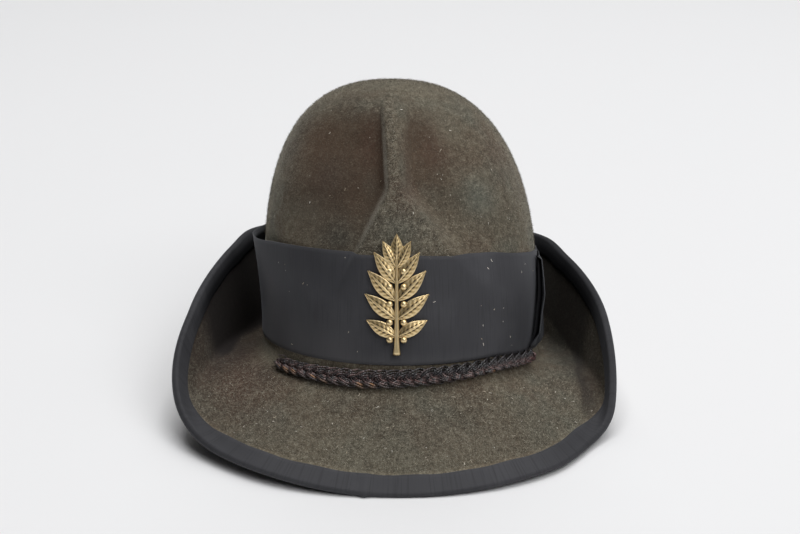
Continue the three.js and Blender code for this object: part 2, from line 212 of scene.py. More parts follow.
BRIM_SECTIONS = (
    BrimSection(-180, 8, 4, 22, 74, 67, 0, 0),
    BrimSection(-135, 6, 4, 22, 73, 68.6, 0, 0),
    BrimSection(-100, 0, 14, 8, 84, 66.6, 0, 1.5),
    BrimSection(-75, -8, 30, 6, 75.5, 63.5, 0, 1.5),
    BrimSection(-55, -26, 47, 20, 43, 65, 0, 0),
    BrimSection(-35, -35.5, 62, 22, 0, 64.7, 0, 0),
    BrimSection(0, -49.5, 75, 22, -49.5, 63.4, 0, 0),
    BrimSection(35, -40, 62, 22, 0, 63.4, 0, 2.0),
    BrimSection(55, -33, 48, 18, 68, 57.5, -2.7, 2.5),
    BrimSection(75, -8, 30, 6, 80.5, 64.3, -5.5, 2.5),
    BrimSection(100, 0, 14, 8, 85.5, 67.5, -6.8, 2.0),
    BrimSection(135, 6, 4, 22, 75, 67.8, -4, 0),
    BrimSection(180, 8, 4, 22, 74, 67, 0, 0),
)


@dataclass(frozen=True)
class RoundTable:
    """Smooth values round the cap through the rows of the brim's table."""

    rows: Sequence[BrimSection] = BRIM_SECTIONS

    def value(self, column: str, angle: Array) -> Array:
        """Reads a column at any angle, with a cubic that never overshoots the rows.

        Args:
            column: Name of a field of the rows.
            angle: Degrees round from the front.

        Returns:
            The column's values there.
        """
        stops = np.array([row.angle for row in self.rows], float)
        values = np.array([getattr(row, column) for row in self.rows], float)
        wrapped = (np.asarray(angle, float) + 180.0) % 360.0 - 180.0
        run = np.diff(stops)
        slope = np.diff(values) / run
        before = np.roll(slope, 1)
        same_way = before * slope > 0
        tangent = np.where(same_way, 2 * before * slope / np.where(same_way, before + slope, 1), 0)
        tangent = np.append(tangent, tangent[0])
        i = np.clip(np.searchsorted(stops, wrapped, side="right") - 1, 0, len(run) - 1)
        t = (wrapped - stops[i]) / run[i]
        bend = t * (1 - t) ** 2 * tangent[i] - t * t * (1 - t) * tangent[i + 1]
        return mixed(values[i], values[i + 1], t * t * (3 - 2 * t)) + run[i] * bend


@dataclass(frozen=True)
class PinchSide:
    """One of the two hollows beside the ridge of the crown.

    Attributes:
        hand: Side of the cap that it is on.
        edge: Sideways place of the ridge's edge.
        rise: Sideways run from the ridge's edge to the full depth.
        flat: Sideways run at full depth.
        fall: Sideways run out of the hollow again.
        depth: How far the felt is pressed in.
        splay: Half width that the ridge gains for each millimetre of drop.
    """

    hand: Hand
    edge: float
    rise: float
    flat: float
    fall: float
    depth: float
    splay: float


@dataclass(frozen=True)
class CapForm:
    """The outside of the felt hood, in millimetres, upright about its brim line."""

    half_width: float = 75.4
    half_length: float = 93.5
    height: float = 138.7
    taper: float = 0.03
    side_power: float = 3.24
    dome_power: float = 2.42
    lean: float = -5.25
    felt: float = 2.2
    hollows: tuple[PinchSide, PinchSide] = (
        PinchSide(Hand.RIGHT, edge=3.3, rise=3.5, flat=16.0, fall=46.0, depth=14.0, splay=0.54),
        PinchSide(Hand.LEFT, edge=0.6, rise=9.0, flat=12.0, fall=42.0, depth=12.5, splay=0.8),
    )
    ridge_splay_height: float = 88.0
    pinch_foot: Ease = Ease(30, 84)
    pinch_top: Ease = Ease(104, 135, 1, 0)
    pinch_front: Ease = Ease(0, 40)
    crest_front: Ease = Ease(12, 50)
    crest_edge: Ease = Ease(-1.5, 2.5, 1, 0)
    crown_heading: float = -88.0
    fillet: float = 10.0
    lean_back: float = 11.0
    rest_shift: Point = (2.633, 4.795, 25.632)
    table: RoundTable = field(default_factory=RoundTable)
    brim_steps: int = 110
    nudge: float = 0.15
    top_gap: float = 0.0005

    def plan(self, angle: Array, height: Array) -> tuple[Array, Array, Array]:
        """Places on the smooth crown, before its hollows are pressed in.

        Args:
            angle: Degrees round from the front.
            height: Heights above the brim line.

        Returns:
            Sideways places, places from front to back, and shares of the crown's height.
        """
        rise = np.clip(height / self.height, 0, 1)
        dome = np.maximum(1 - rise**self.side_power, 0) ** (1 / self.dome_power)
        share = (1 - self.taper * rise) * dome
        turn = np.radians(angle)
        return self.half_width * np.sin(turn) * share, -self.half_length * np.cos(turn) * share, rise

    def past_ridge(self, hollow: PinchSide, x: Array, height: Array) -> Array:
        """How far sideways places lie past the ridge's edge at one of the hollows."""
        drop = np.maximum(self.ridge_splay_height - height, 0)
        return hollow.hand.value * x - hollow.edge - hollow.splay * drop

    def pinch(self, x: Array, y: Array, height: Array) -> Array:
        """Depth of the hollows that leave the ridge down the front.

        Args:
            x: Sideways places on the smooth crown.
            y: Places from front to back on it.
            height: Heights above the brim line.

        Returns:
            How far each place is pressed towards the back.
        """
        up = self.pinch_foot(height) * self.pinch_top(height)
        total = np.zeros_like(x)
        for hollow in self.hollows:
            aside = self.past_ridge(hollow, x, height)
            across = smoothstep(aside, 0, hollow.rise)
            across = across * (1 - smoothstep(aside, hollow.flat, hollow.flat + hollow.fall))
            total = total + hollow.depth * across * up
        return total * self.pinch_front(-y)

    def crest(self, x: Array, y: Array, height: Array) -> Array:
        """Share by which places lie on the ridge between the hollows.

        Args:
            x: Sideways places on the smooth crown.
            y: Places from front to back on it.
            height: Heights above the brim line.

        Returns:
            1 on the ridge and the flare below it, falling to 0 beside them.
        """
        share = self.crest_front(-y)
        for hollow in self.hollows:
            share = share * self.crest_edge(self.past_ridge(hollow, x, height))
        return share

    def crown(self, angle: Array, height: Array) -> Array:
        """Points of the crown's outside.

        Args:
            angle: Degrees round from the front.
            height: Heights above the brim line.

        Returns:
            Points, with coordinates along the last axis.
        """
        angle, height = np.broadcast_arrays(np.asarray(angle, float), np.asarray(height, float))
        x, y, rise = self.plan(angle, height)
        return np.stack([x + self.lean * rise**2, y + self.pinch(x, y, height), height], axis=-1)

    def brim(self, angle: Array, reach: Array) -> Array:
        """Points of the brim's upper face.

        Args:
            angle: Degrees round from the front.
            reach: Distances over the felt from the brim line.

        Returns:
            Points, with coordinates along the last axis.
        """
        angle, reach = np.broadcast_arrays(np.asarray(angle, float), np.asarray(reach, float))
        along = reach[..., None] * (np.arange(self.brim_steps) + 0.5) / self.brim_steps
        names = ("floor_tilt", "floor", "fold", "wall_tilt")
        floor_tilt, floor, fold, wall_tilt = (self.table.value(name, angle)[..., None] for name in names)
        heading = mixed(floor_tilt, wall_tilt, smoothstep((along - floor) / fold, 0, 1))
        heading = np.radians(mixed(self.crown_heading, heading, smoothstep(along, 0, self.fillet)))
        out = reach * np.cos(heading).mean(axis=-1)
        up = self.table.value("dip", angle) + reach * np.sin(heading).mean(axis=-1)
        turn = np.radians(angle)
        away = unit(np.stack([np.sin(turn) / self.half_width, -np.cos(turn) / self.half_length], axis=-1))
        x = self.half_width * np.sin(turn) + away[..., 0] * out
        y = -self.half_length * np.cos(turn) + away[..., 1] * out
        return np.stack([x, y, up], axis=-1)

    def normal(self, surface: Callable[[Array, Array], Array], angle: Array, along: Array) -> Array:
        """Outward normals of a surface whose second way runs down and outwards.

        Args:
            surface: Gives points from angles and distances.
            angle: Degrees round from the front.
            along: Distances down and outwards.

        Returns:
            Unit vectors, with coordinates along the last axis.
        """
        round_way = surface(angle + self.nudge, along) - surface(angle - self.nudge, along)
        down = surface(angle, along + self.nudge) - surface(angle, along - self.nudge)
        return unit(np.cross(down, round_way))

    def crown_normal(self, angle: Array, height: Array) -> Array:
        """Outward normals of the crown, with a last height just under the top."""
        highest = self.height - self.top_gap
        return self.normal(lambda a, depth: self.crown(a, np.minimum(-depth, highest)), angle, -height)

    def off_crown(self, angle: Array, height: Array, distance: Array) -> Array:
        """Points at a distance off the crown's outside."""
        angle, height, distance = np.broadcast_arrays(angle, height, distance)
        return self.crown(angle, height) + self.crown_normal(angle, height) * distance[..., None]

    def off_brim(self, angle: Array, reach: Array, distance: Array) -> Array:
        """Points at a distance off the brim's upper face."""
        angle, reach, distance = np.broadcast_arrays(angle, reach, distance)
        return self.brim(angle, reach) + self.normal(self.brim, angle, reach) * distance[..., None]

    def settled(self, points: Array) -> Array:
        """Leans points back and sets them on the floor, pressed flat where they would go below it.

        Args:
            points: Points in millimetres, upright about the brim line.

        Returns:
            Points in metres.
        """
        turn = math.radians(self.lean_back)
        x, y, z = np.moveaxis(points, -1, 0)
        back = y * math.cos(turn) + z * math.sin(turn)
        up = z * math.cos(turn) - y * math.sin(turn)
        aside, ahead, lift = self.rest_shift
        return np.stack([x + aside, back + ahead, np.maximum(up + lift, 0)], axis=-1) * MM

    def columns(self, count: int, crowding: float = 0.5) -> Array:
        """Angles round the cap, closer together at the front."""
        even = circle(count) - np.pi
        return np.degrees(even - crowding * np.sin(even))


def mesh_piece(name: str, points: Array, faces: list[Sequence[int]], marks: Marks) -> Piece:
    """Makes a mesh object and links it to the scene.

    Args:
        name: Name of the object and of its mesh.
        points: Points in metres.
        faces: The points round each face.
        marks: A number for each point, by name.

    Returns:
        The new object.
    """
    mesh = bpy.data.meshes.new(name)
    mesh.from_pydata(points.tolist(), [], faces)
    for mark, values in marks.items():
        layer = mesh.attributes.new(mark, "FLOAT", "POINT")
        layer.data.foreach_set("value", np.asarray(values, np.float32).ravel())
    mesh.update()
    made = bpy.data.objects.new(name, mesh)
    bpy.context.scene.collection.objects.link(made)
    return made


@dataclass
class Skin:
    """A mesh in the making: loops of points that quads join, with a cloth grid in millimetres.

    Attributes:
        loops: Points by loop and place in the loop, each loop closed on itself.
        round_way: Whether the last loop joins the first. Otherwise the two are capped.
        along: Cloth distance of each loop, with one more value where the loops go round.
        across: Cloth distance of each place in a loop, with one more value to close it.
        marks: Named numbers for each point, by loop and place.
    """

    loops: Array
    round_way: bool
    along: Array
    across: Array
    marks: Marks = field(default_factory=dict)

    def piece(self, name: str, form: CapForm) -> Piece:
        """Makes the settled mesh object, smooth and with its faces outwards.

        Args:
            name: Name of the piece.
            form: The cap's form, which settles the points.

        Returns:
            The new object.
        """
        count, places = self.loops.shape[:2]
        spans = count if self.round_way else count - 1
        i, j = np.meshgrid(np.arange(spans), np.arange(places), indexing="ij")
        corners = ((i, j), (i + 1, j), (i + 1, j + 1), (i, j + 1))
        quads = np.stack([a % count * places + b % places for a, b in corners], -1).reshape(-1, 4)
        grid = np.stack([np.stack([self.along[a], self.across[b]], -1) for a, b in corners], axis=2)
        points = form.settled(self.loops.reshape(-1, 3))
        way = -1 if self.volume(points, quads) < 0 else 1
        faces = quads[:, ::way].tolist()
        cloth = grid.reshape(-1, 4, 2)[:, ::way].reshape(-1, 2)
        if not self.round_way:
            first, last = np.arange(count * places).reshape(count, places)[[0, -1]]
            faces += [first[::way].tolist(), last[::-way].tolist()]
            cloth = np.vstack([cloth, np.zeros((2 * places, 2))])
        made = mesh_piece(name, points, faces, self.marks)
        made.data.uv_layers.new(name=CLOTH).data.foreach_set("uv", cloth.ravel())
        made.data.polygons.foreach_set("use_smooth", np.ones(len(faces), bool))
        made.data.update()
        return made

    @staticmethod
    def volume(points: Array, quads: Array) -> float:
        """Signed volume that the quads hold, times a constant."""
        a, b, c, d = (points[quads[:, k]] for k in range(4))
        return float(np.einsum("ij,ij->", a, np.cross(b, c)) + np.einsum("ij,ij->", a, np.cross(c, d)))


def joined(name: str, parts: list[Piece]) -> Piece:
    """Joins mesh objects into one.

    Args:
        name: Name of the joined piece.
        parts: Objects to join, the first of which is kept.

    Returns:
        The joined object.
    """
    first = parts[0]
    with bpy.context.temp_override(
        active_object=first, selected_objects=parts, selected_editable_objects=parts
    ):
        bpy.ops.object.join()
    first.name = name
    first.data.name = name
    return first


def tube(path: Array, radius: Array, sides: int, **marks: float) -> Skin:
    """A round tube along a path, with capped ends.

    Args:
        path: Points along the middle.
        radius: Radius at each point.
        sides: Number of sides.
        marks: Named numbers that hold for the whole tube.

    Returns:
        The tube as a skin.
    """
    crosswise = np.array([0.13, 0.27, 0.95])
    tangent = unit(np.gradient(path, axis=0))
    first = unit(np.cross(tangent, crosswise))
    second = np.cross(tangent, first)
    turn = circle(sides)[None, :, None]
    ring = first[:, None] * np.cos(turn) + second[:, None] * np.sin(turn)
    loops = path[:, None] + ring * np.broadcast_to(radius, len(path))[:, None, None]
    filled = {name: np.full(loops.shape[:2], value) for name, value in marks.items()}
    return Skin(loops, False, distances(path), np.arange(sides + 1) / sides, filled)


class Value:
    """A number that varies over a surface: a socket that Python's operators extend with Math nodes."""

    def __init__(self, shader: "Shader", socket: Socket) -> None:
        """Wraps a socket of a shader's graph."""
        self.shader = shader
        self.socket = socket

    def math(self, operation: str, *terms: "Value | float") -> "Value":
        """Adds a Math node over the terms."""
        return self.shader.value("ShaderNodeMath", {"operation": operation}, dict(enumerate(terms)))

    def __add__(self, other: "Value | float") -> "Value":
        """Sum."""
        return self.math("ADD", self, other)

    def __radd__(self, other: float) -> "Value":
        """Sum with a number in front."""
        return self.math("ADD", other, self)

    def __sub__(self, other: "Value | float") -> "Value":
        """Difference."""
        return self.math("SUBTRACT", self, other)

    def __rsub__(self, other: float) -> "Value":
        """Difference from a number."""
        return self.math("SUBTRACT", other, self)

    def __mul__(self, other: "Value | float") -> "Value":
        """Product."""
        return self.math("MULTIPLY", self, other)

    def __rmul__(self, other: float) -> "Value":
        """Product with a number in front."""
        return self.math("MULTIPLY", other, self)

    def sine(self) -> "Value":
        """Sine of this, in radians."""
        return self.math("SINE", self)

    def eased(self, low: float, high: float) -> "Value":
        """Eases from 0 where this is low to 1 where it is high."""
        inputs = {"Value": self, "From Min": low, "From Max": high}
        return self.shader.value("ShaderNodeMapRange", {"interpolation_type": "SMOOTHSTEP"}, inputs)


class Shader:
    """The node graph of one material, built from named nodes."""

    def __init__(self, name: str) -> None:
        """Starts a material with an empty graph.

        Args:
            name: Name of the material.
        """
        self.material = bpy.data.materials.new(name)
        self.material.use_nodes = True
        self.tree = self.material.node_tree
        self.tree.nodes.clear()

    def node(self, kind: str, settings: Settings, inputs: Inputs) -> bpy.types.Node:
        """Adds a node.

        Args:
            kind: Blender's name of the node's type.
            settings: Settings of the node, set before its sockets.
            inputs: Values or links of its sockets, by name or number.

        Returns:
            The new node.
        """
        made = self.tree.nodes.new(kind)
        for name, setting in settings.items():
            setattr(made, name, setting)
        for key, given in inputs.items():
            socket = made.inputs[key]
            if isinstance(given, Value):
                self.tree.links.new(given.socket, socket)
            elif isinstance(given, Socket):
                self.tree.links.new(given, socket)
            elif isinstance(given, tuple) and socket.type == "RGBA":
                socket.default_value = (*given, 1.0)
            else:
                socket.default_value = given
        return made

    def value(self, kind: str, settings: Settings, inputs: Inputs, output: str | int = 0) -> Value:
        """Adds a node and wraps one of its outputs as a value."""
        return Value(self, self.node(kind, settings, inputs).outputs[output])

    def noise(self, scale: float, detail: float = 2.0, place: Socket | None = None) -> Value:
        """Soft noise from 0 to 1, in grains for each metre of the piece or each step of a given place."""
        place = place or self.node("ShaderNodeTexCoord", {}, {}).outputs["Object"]
        return self.value("ShaderNodeTexNoise", {}, {"Vector": place, "Scale": scale, "Detail": detail})

    def grid(self) -> Socket:
        """Distances along and across the cloth, in millimetres, as a vector."""
        return self.node("ShaderNodeUVMap", {"uv_map": CLOTH}, {}).outputs[0]

    def cloth(self) -> tuple[Value, Value]:
        """Distances along and across the cloth, in millimetres."""
        split = self.node("ShaderNodeSeparateXYZ", {}, {0: self.grid()})
        return Value(self, split.outputs[0]), Value(self, split.outputs[1])

    def threads(self, along: float, across: float) -> Value:
        """Noise drawn out into threads, with its grains for each millimetre along and across the cloth."""
        scaled = self.node("ShaderNodeMapping", {}, {"Vector": self.grid(), "Scale": (along, across, 1.0)})
        return self.noise(1.0, place=scaled.outputs[0])

    def mark(self, name: str) -> Value:
        """A number that the mesh carries at each point."""
        return self.value("ShaderNodeAttribute", {"attribute_name": name}, {}, "Fac")

    def mix(self, share: Value, low: Colour | Socket, high: Colour | Socket) -> Socket:
        """Mixes two colours by the share of the second."""
        return self.node("ShaderNodeMix", {"data_type": "RGBA"}, {0: share, 6: low, 7: high}).outputs[2]

    def bump(self, height: Value, strength: float, distance: float) -> Socket:
        """Normal bent by a height field."""
        inputs = {"Height": height, "Strength": strength, "Distance": distance}
        return self.node("ShaderNodeBump", {}, inputs).outputs[0]

    def surface(self, inputs: Inputs, shade: Colour | None = None) -> bpy.types.Material:
        """Closes the graph with a principled surface.

        Args:
            inputs: Values or links of the surface's sockets.
            shade: Colour of a dull dark second surface, painted shade over what the mesh marks as gutter.

        Returns:
            The finished material.
        """
        shaded = self.node("ShaderNodeBsdfPrincipled", {}, inputs).outputs[0]
        if shade is not None:
            dull = {"Base Color": shade, "Roughness": 1.0, "Specular IOR Level": 0.0}
            over = self.node("ShaderNodeBsdfPrincipled", {}, dull).outputs[0]
            sheets = {0: self.mark("gutter"), 1: shaded, 2: over}
            shaded = self.node("ShaderNodeMixShader", {}, sheets).outputs[0]
        self.node("ShaderNodeOutputMaterial", {}, {"Surface": shaded})
        return self.material


@dataclass(frozen=True)
class Grain:
    """Soft noise eased into patches.

    Attributes:
        scale: Grains per metre.
        detail: Number of finer layers.
        low: Noise where a patch starts.
        high: Noise where it is full.
        share: Strength of the patches.
    """

    scale: float
    detail: float
    low: float
    high: float
    share: float = 1.0

    def over(self, shader: Shader) -> Value:
        """The patches over a shader's piece."""
        return shader.noise(self.scale, self.detail).eased(self.low, self.high) * self.share


@dataclass(frozen=True)
class Lustre:
    """How a cloth takes the light: its roughness, plain gloss, and the sheen of its fibres."""

    roughness: float
    gloss: float
    sheen: float = 0.0
    sheen_roughness: float = 0.5
    sheen_tint: Colour = (1.0, 1.0, 1.0)

    def inputs(self) -> Inputs:
        """Constants of a principled surface.

        Returns:
            Values by socket.
        """
        return {
            "Roughness": self.roughness,
            "Specular IOR Level": self.gloss,
            "Sheen Weight": self.sheen,
            "Sheen Roughness": self.sheen_roughness,
            "Sheen Tint": self.sheen_tint,
        }


@dataclass(frozen=True)
class FeltFinish:
    """Felt of brown and green wool, grey-green where the nap stands; the darker brown in the hollows is
    partly the wool's ground and partly painted shade.
    """

    brown: Colour = (0.08, 0.051, 0.034)
    russet: Colour = (0.12, 0.086, 0.061)
    olive: Colour = (0.134, 0.112, 0.081)
    green: Colour = (0.118, 0.112, 0.087)
    crest: Colour = (0.127, 0.104, 0.076)
    # Colour of the patches that paint shade.
    dim: Colour = (0.052, 0.046, 0.037)
    # Paler felt, for the front edge of the brim and for the patches that paint light.
    faded: Colour = (0.2, 0.176, 0.13)
    pale: Colour = (0.4, 0.37, 0.285)
    dark: Colour = (0.03, 0.026, 0.021)
    # Darker, warmer colour of the patches that paint shade and warm the hue.
    rust: Colour = (0.082, 0.046, 0.034)
    # Lighter green-grey of the patches that paint light with a greener hue.
    moss: Colour = (0.165, 0.172, 0.142)
    # Painted shade, laid over what the mesh marks as gutter.
    shade: Colour = (0.025, 0.0225, 0.0225)
    lustre: Lustre = Lustre(0.95, 0.12, 0.55, 0.3, (0.68, 0.66, 0.56))
    patches: Grain = Grain(34, 3, 0.4, 0.62)
    warm: Grain = Grain(23, 2, 0.5, 0.66, 0.6)
    cloudy: Grain = Grain(120, 2, 0.35, 0.75, 0.3)
    pale_mottle: Grain = Grain(330, 2, 0.5, 0.72, 0.3)
    dark_mottle: Grain = Grain(330, 2, 0.5, 0.3, 0.4)
    crest_share: float = 0.9
    mottle: float = 0.6
    crest_mottle: float = 0.5
    hollow_calm: float = 0.85
    hair_scale: float = 1250.0
    hair_detail: float = 3.0
    hollow_hairs: float = 0.75
    pale_share: float = 0.5
    dark_share: float = 0.2
    dark_standing: float = 0.35
    pale_hairs: Span = (0.52, 0.76)
    dark_hairs: Span = (0.48, 0.28)
    tuft_scale: float = 520.0
    tuft_share: float = 0.6
    bump: float = 0.5
    relief: float = 0.0006

    def wool(self, shader: Shader) -> Socket:
        """Colour of the wool in its patches, before its light and dark hairs.

        Args:
            shader: The material's graph, on a mesh with the felt's marks.

        Returns:
            The colour's socket.
        """
        crest, hollow = shader.mark("crest"), shader.mark("hollow")
        colour = shader.mix(self.patches.over(shader), self.olive, self.green)
        colour = shader.mix(self.warm.over(shader), colour, self.russet)
        colour = shader.mix(self.cloudy.over(shader), colour, self.brown)
        colour = shader.mix(crest * self.crest_share, colour, self.crest)
        # Paler towards the front edge of the brim.
        colour = shader.mix(shader.mark("faded"), colour, self.faded)
        # Darker brown in the hollows: partly the wool's ground, partly painted shade.
        colour = shader.mix(hollow, colour, self.brown)
        # Tones of the painted patches: painted shade, painted light and shifts of hue.
        turned = {Tint.RUST: self.rust, Tint.DIM: self.dim, Tint.PALE: self.faded, Tint.GREEN: self.moss}
        for tint, tone in turned.items():
            colour = shader.mix(shader.mark(tint.value), colour, tone)
        standing = (self.mottle + self.crest_mottle * crest) * (1 - self.hollow_calm * hollow)
        colour = shader.mix(self.pale_mottle.over(shader) * standing, colour, self.pale)
        return shader.mix(self.dark_mottle.over(shader) * standing, colour, self.dark)

    def material(self) -> bpy.types.Material:
        """Makes the felt's material.

        Returns:
            The material.
        """
        shader = Shader("napped_felt")
        standing = 1 - self.hollow_hairs * shader.mark("hollow")
        hairs = shader.noise(self.hair_scale, self.hair_detail)
        pale = hairs.eased(*self.pale_hairs) * (self.pale_share * standing)
        dark = hairs.eased(*self.dark_hairs) * (self.dark_share + self.dark_standing * standing)
        colour = shader.mix(pale, self.wool(shader), self.pale)
        colour = shader.mix(dark, colour, self.dark)
        height = hairs + self.tuft_share * shader.noise(self.tuft_scale)
        inputs = {"Base Color": colour, "Normal": shader.bump(height, self.bump, self.relief)}
        return shader.surface(inputs | self.lustre.inputs(), self.shade)


@dataclass(frozen=True)
class NapFinish:
    """Loose wool fibres on the felt, each with its own tone."""

    felt: FeltFinish = FeltFinish()
    pale: Colour = (0.5, 0.47, 0.37)
    dark: Colour = (0.04, 0.034, 0.027)
    pale_tints: Span = (0.5, 1.0)
    dark_tints: Span = (0.45, 0.0)
    pale_share: float = 0.75
    dark_share: float = 0.8
    lustre: Lustre = Lustre(0.9, 0.15, 0.5, 0.35, (0.72, 0.7, 0.6))

    def material(self) -> bpy.types.Material:
        """Makes the fibres' material.

        Returns:
            The material.
        """
        shader = Shader("felt_fibres")
        tint = shader.mark("tint")
        dark = tint.eased(*self.dark_tints) * self.dark_share
        pale = tint.eased(*self.pale_tints) * self.pale_share
        colour = shader.mix(dark, self.felt.wool(shader), self.dark)
        colour = shader.mix(pale, colour, self.pale)
        # The fibres take the felt's painted shade in the gutter.
        return shader.surface({"Base Color": colour} | self.lustre.inputs(), self.felt.shade)


@dataclass(frozen=True)
class LintFinish:
    """Pale lint."""

    pale: Colour = (0.78, 0.75, 0.68)
    tan: Colour = (0.5, 0.42, 0.3)
    lustre: Lustre = Lustre(0.9, 0.2)

    def material(self) -> bpy.types.Material:
        """Makes the lint's material.

        Returns:
            The material.
        """
        shader = Shader("pale_lint")
        colour = shader.mix(shader.mark("tint"), self.tan, self.pale)
        return shader.surface({"Base Color": colour} | self.lustre.inputs())


@dataclass(frozen=True)
class RibbonFinish:
    """Charcoal ribbon with uneven cross ribs."""

    name: str
    colour: Colour = (0.043, 0.043, 0.048)
    worn: Colour = (0.07, 0.07, 0.076)
    # Painted light, where the mesh carries the pale patches.
    painted_light_tone: Colour = (0.1, 0.097, 0.1)
    # Painted shade, over what the mesh marks as gutter.
    shade: Colour = (0.009, 0.009, 0.01)
    lustre: Lustre = Lustre(0.72, 0.3, 0.12, 0.4, (0.7, 0.73, 0.8))
    wear: Grain = Grain(45, 3, 0.42, 0.75)
    wear_share: float = 0.5
    wear_roughness: float = 0.12
    ribs: float = 1.1
    rib_run: float = 0.05
    rib_depth: float = 0.0001
    rib_tone: float = 0.5
    rib_grooves: Span = (0.52, 0.3)
    groove_tone: float = 0.55
    weft: Span = (0.1, 2.4)
    weft_share: float = 0.25
    fuzz_scale: float = 2600.0
    fuzz_share: float = 0.3
    bump: float = 0.5

    def material(self) -> bpy.types.Material:
        """Makes the ribbon's material.

        Returns:
            The material.
        """
        shader = Shader(self.name)
        rib = shader.threads(self.ribs, self.rib_run)
        wear = self.wear.over(shader)
        colour = shader.mix(wear * self.wear_share, self.colour, self.worn)
        groove = tuple(channel * self.groove_tone for channel in self.colour)
        colour = shader.mix(rib.eased(*self.rib_grooves) * self.rib_tone, colour, groove)
        # Painted light on the pale patches.
        colour = shader.mix(shader.mark(Tint.PALE.value), colour, self.painted_light_tone)
        height = rib + self.weft_share * shader.threads(*self.weft)
        height = height + self.fuzz_share * shader.noise(self.fuzz_scale)
        inputs = self.lustre.inputs() | {
            "Base Color": colour,
            "Roughness": self.lustre.roughness + self.wear_roughness * wear,
            "Normal": shader.bump(height, self.bump, self.rib_depth),
        }
        return shader.surface(inputs, self.shade)


@dataclass(frozen=True)
class CordFinish:
    """Silky cord, mauve brown with a blue-black upper row, worn to an orange core in places."""

    brown: Colour = (0.17, 0.108, 0.1)
    soot: Colour = (0.02, 0.015, 0.016)
    navy: Colour = (0.016, 0.018, 0.023)
    red: Colour = (0.115, 0.04, 0.038)
    core: Colour = (0.42, 0.21, 0.09)
    deep: Colour = (0.008, 0.006, 0.006)
    tones: Grain = Grain(420, 2, 0.4, 0.6)
    upper_share: float = 0.85
    red_share: float = 0.8
    under_share: float = 0.85
    twist: float = 5.2
    bump: float = 0.6
    twist_depth: float = 0.00016
    lustre: Lustre = Lustre(0.28, 0.85)

    def material(self) -> bpy.types.Material:
        """Makes the cord's material.

        Returns:
            The material.
        """
        shader = Shader("silky_cord")
        along, around = shader.cloth()
        twist = (along * self.twist + around * (2 * math.pi)).sine()
        colour = shader.mix(self.tones.over(shader), self.soot, self.brown)
        colour = shader.mix(shader.mark("upper") * self.upper_share, colour, self.navy)
        colour = shader.mix(shader.mark("red") * self.red_share, colour, self.red)
        colour = shader.mix(shader.mark("core"), colour, self.core)
        # Painted shade where the cords dip under the crossing strands; every other cord is darker as well.
        colour = shader.mix(shader.mark("under") * self.under_share, colour, self.deep)
        inputs = {"Base Color": colour, "Normal": shader.bump(twist, self.bump, self.twist_depth)}
        return shader.surface(inputs | self.lustre.inputs())


@dataclass(frozen=True)
class BrassFinish:
    """Stamped brass, bright on the raised parts and brown in the recesses."""

    bright: Colour = (0.88, 0.69, 0.39)
    dull: Colour = (0.52, 0.37, 0.17)
    recess: Colour = (0.04, 0.027, 0.015)
    blotches: float = 420.0
    blotch_detail: float = 3.0
    polished: Span = (0.25, 0.85)
    polish_blotch: float = 0.35
    clean: Span = (0.04, 0.34)
    grime_blotch: float = 0.3
    metallic: float = 0.9
    grime_metallic: float = 0.6
    roughness: float = 0.32
    grime_roughness: float = 0.3
    blotch_roughness: float = 0.1
    bump: float = 0.18
    pits: float = 1300.0
    pit_depth: float = 0.0002

    def material(self) -> bpy.types.Material:
        """Makes the brass's material.

        Returns:
            The material.
        """
        shader = Shader("stamped_brass")
        raised = shader.mark("raised")
        blotch = shader.noise(self.blotches, self.blotch_detail)
        polished = (raised + self.polish_blotch * (blotch - 0.5)).eased(*self.polished)
        grime = 1 - (raised + self.grime_blotch * (blotch - 0.5)).eased(*self.clean)
        colour = shader.mix(grime, shader.mix(polished, self.dull, self.bright), self.recess)
        inputs = {
            "Base Color": colour,
            "Metallic": self.metallic - self.grime_metallic * grime,
            "Roughness": self.roughness + self.grime_roughness * grime + self.blotch_roughness * blotch,
            "Normal": shader.bump(shader.noise(self.pits), self.bump, self.pit_depth),
        }
        return shader.surface(inputs)


@dataclass(frozen=True)
class FloorFinish:
    """Plain white floor."""

    colour: Colour = (0.78, 0.781, 0.79)
    lustre: Lustre = Lustre(0.9, 0.1)

    def material(self) -> bpy.types.Material:
        """Makes the floor's material."""
        return Shader("white_floor").surface({"Base Color": self.colour} | self.lustre.inputs())


def dressed(piece: Piece, material: bpy.types.Material, slot: Slot, *nodes: str) -> Piece:
    """Gives a piece its material and body, and hides the solids that it stands for.

    Args:
        piece: The new piece.
        material: Its material.
        slot: The record's slot that it takes its finish from; not used here.
        nodes: Solids that it replaces.

    Returns:
        The same piece.
    """
    piece.data.materials.clear()
    piece.data.materials.append(material)
    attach(piece, BODY)
    if nodes:
        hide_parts(*nodes)
    return piece


@dataclass(frozen=True)
class Patch:
    """A painted patch of the cloth, soft at its edge, that paints light and shade and shifts the hue.

    Attributes:
        angle: Degrees round from the front to its middle.
        along: Height of its middle on the crown, its reach on the brim, or its distance up the band.
        spread: Degrees round from its middle to its edge.
        tall: Distance up or down from its middle to its edge.
        share: How strong it is in the middle.
    """

    angle: float
    along: float
    spread: float
    tall: float
    share: float
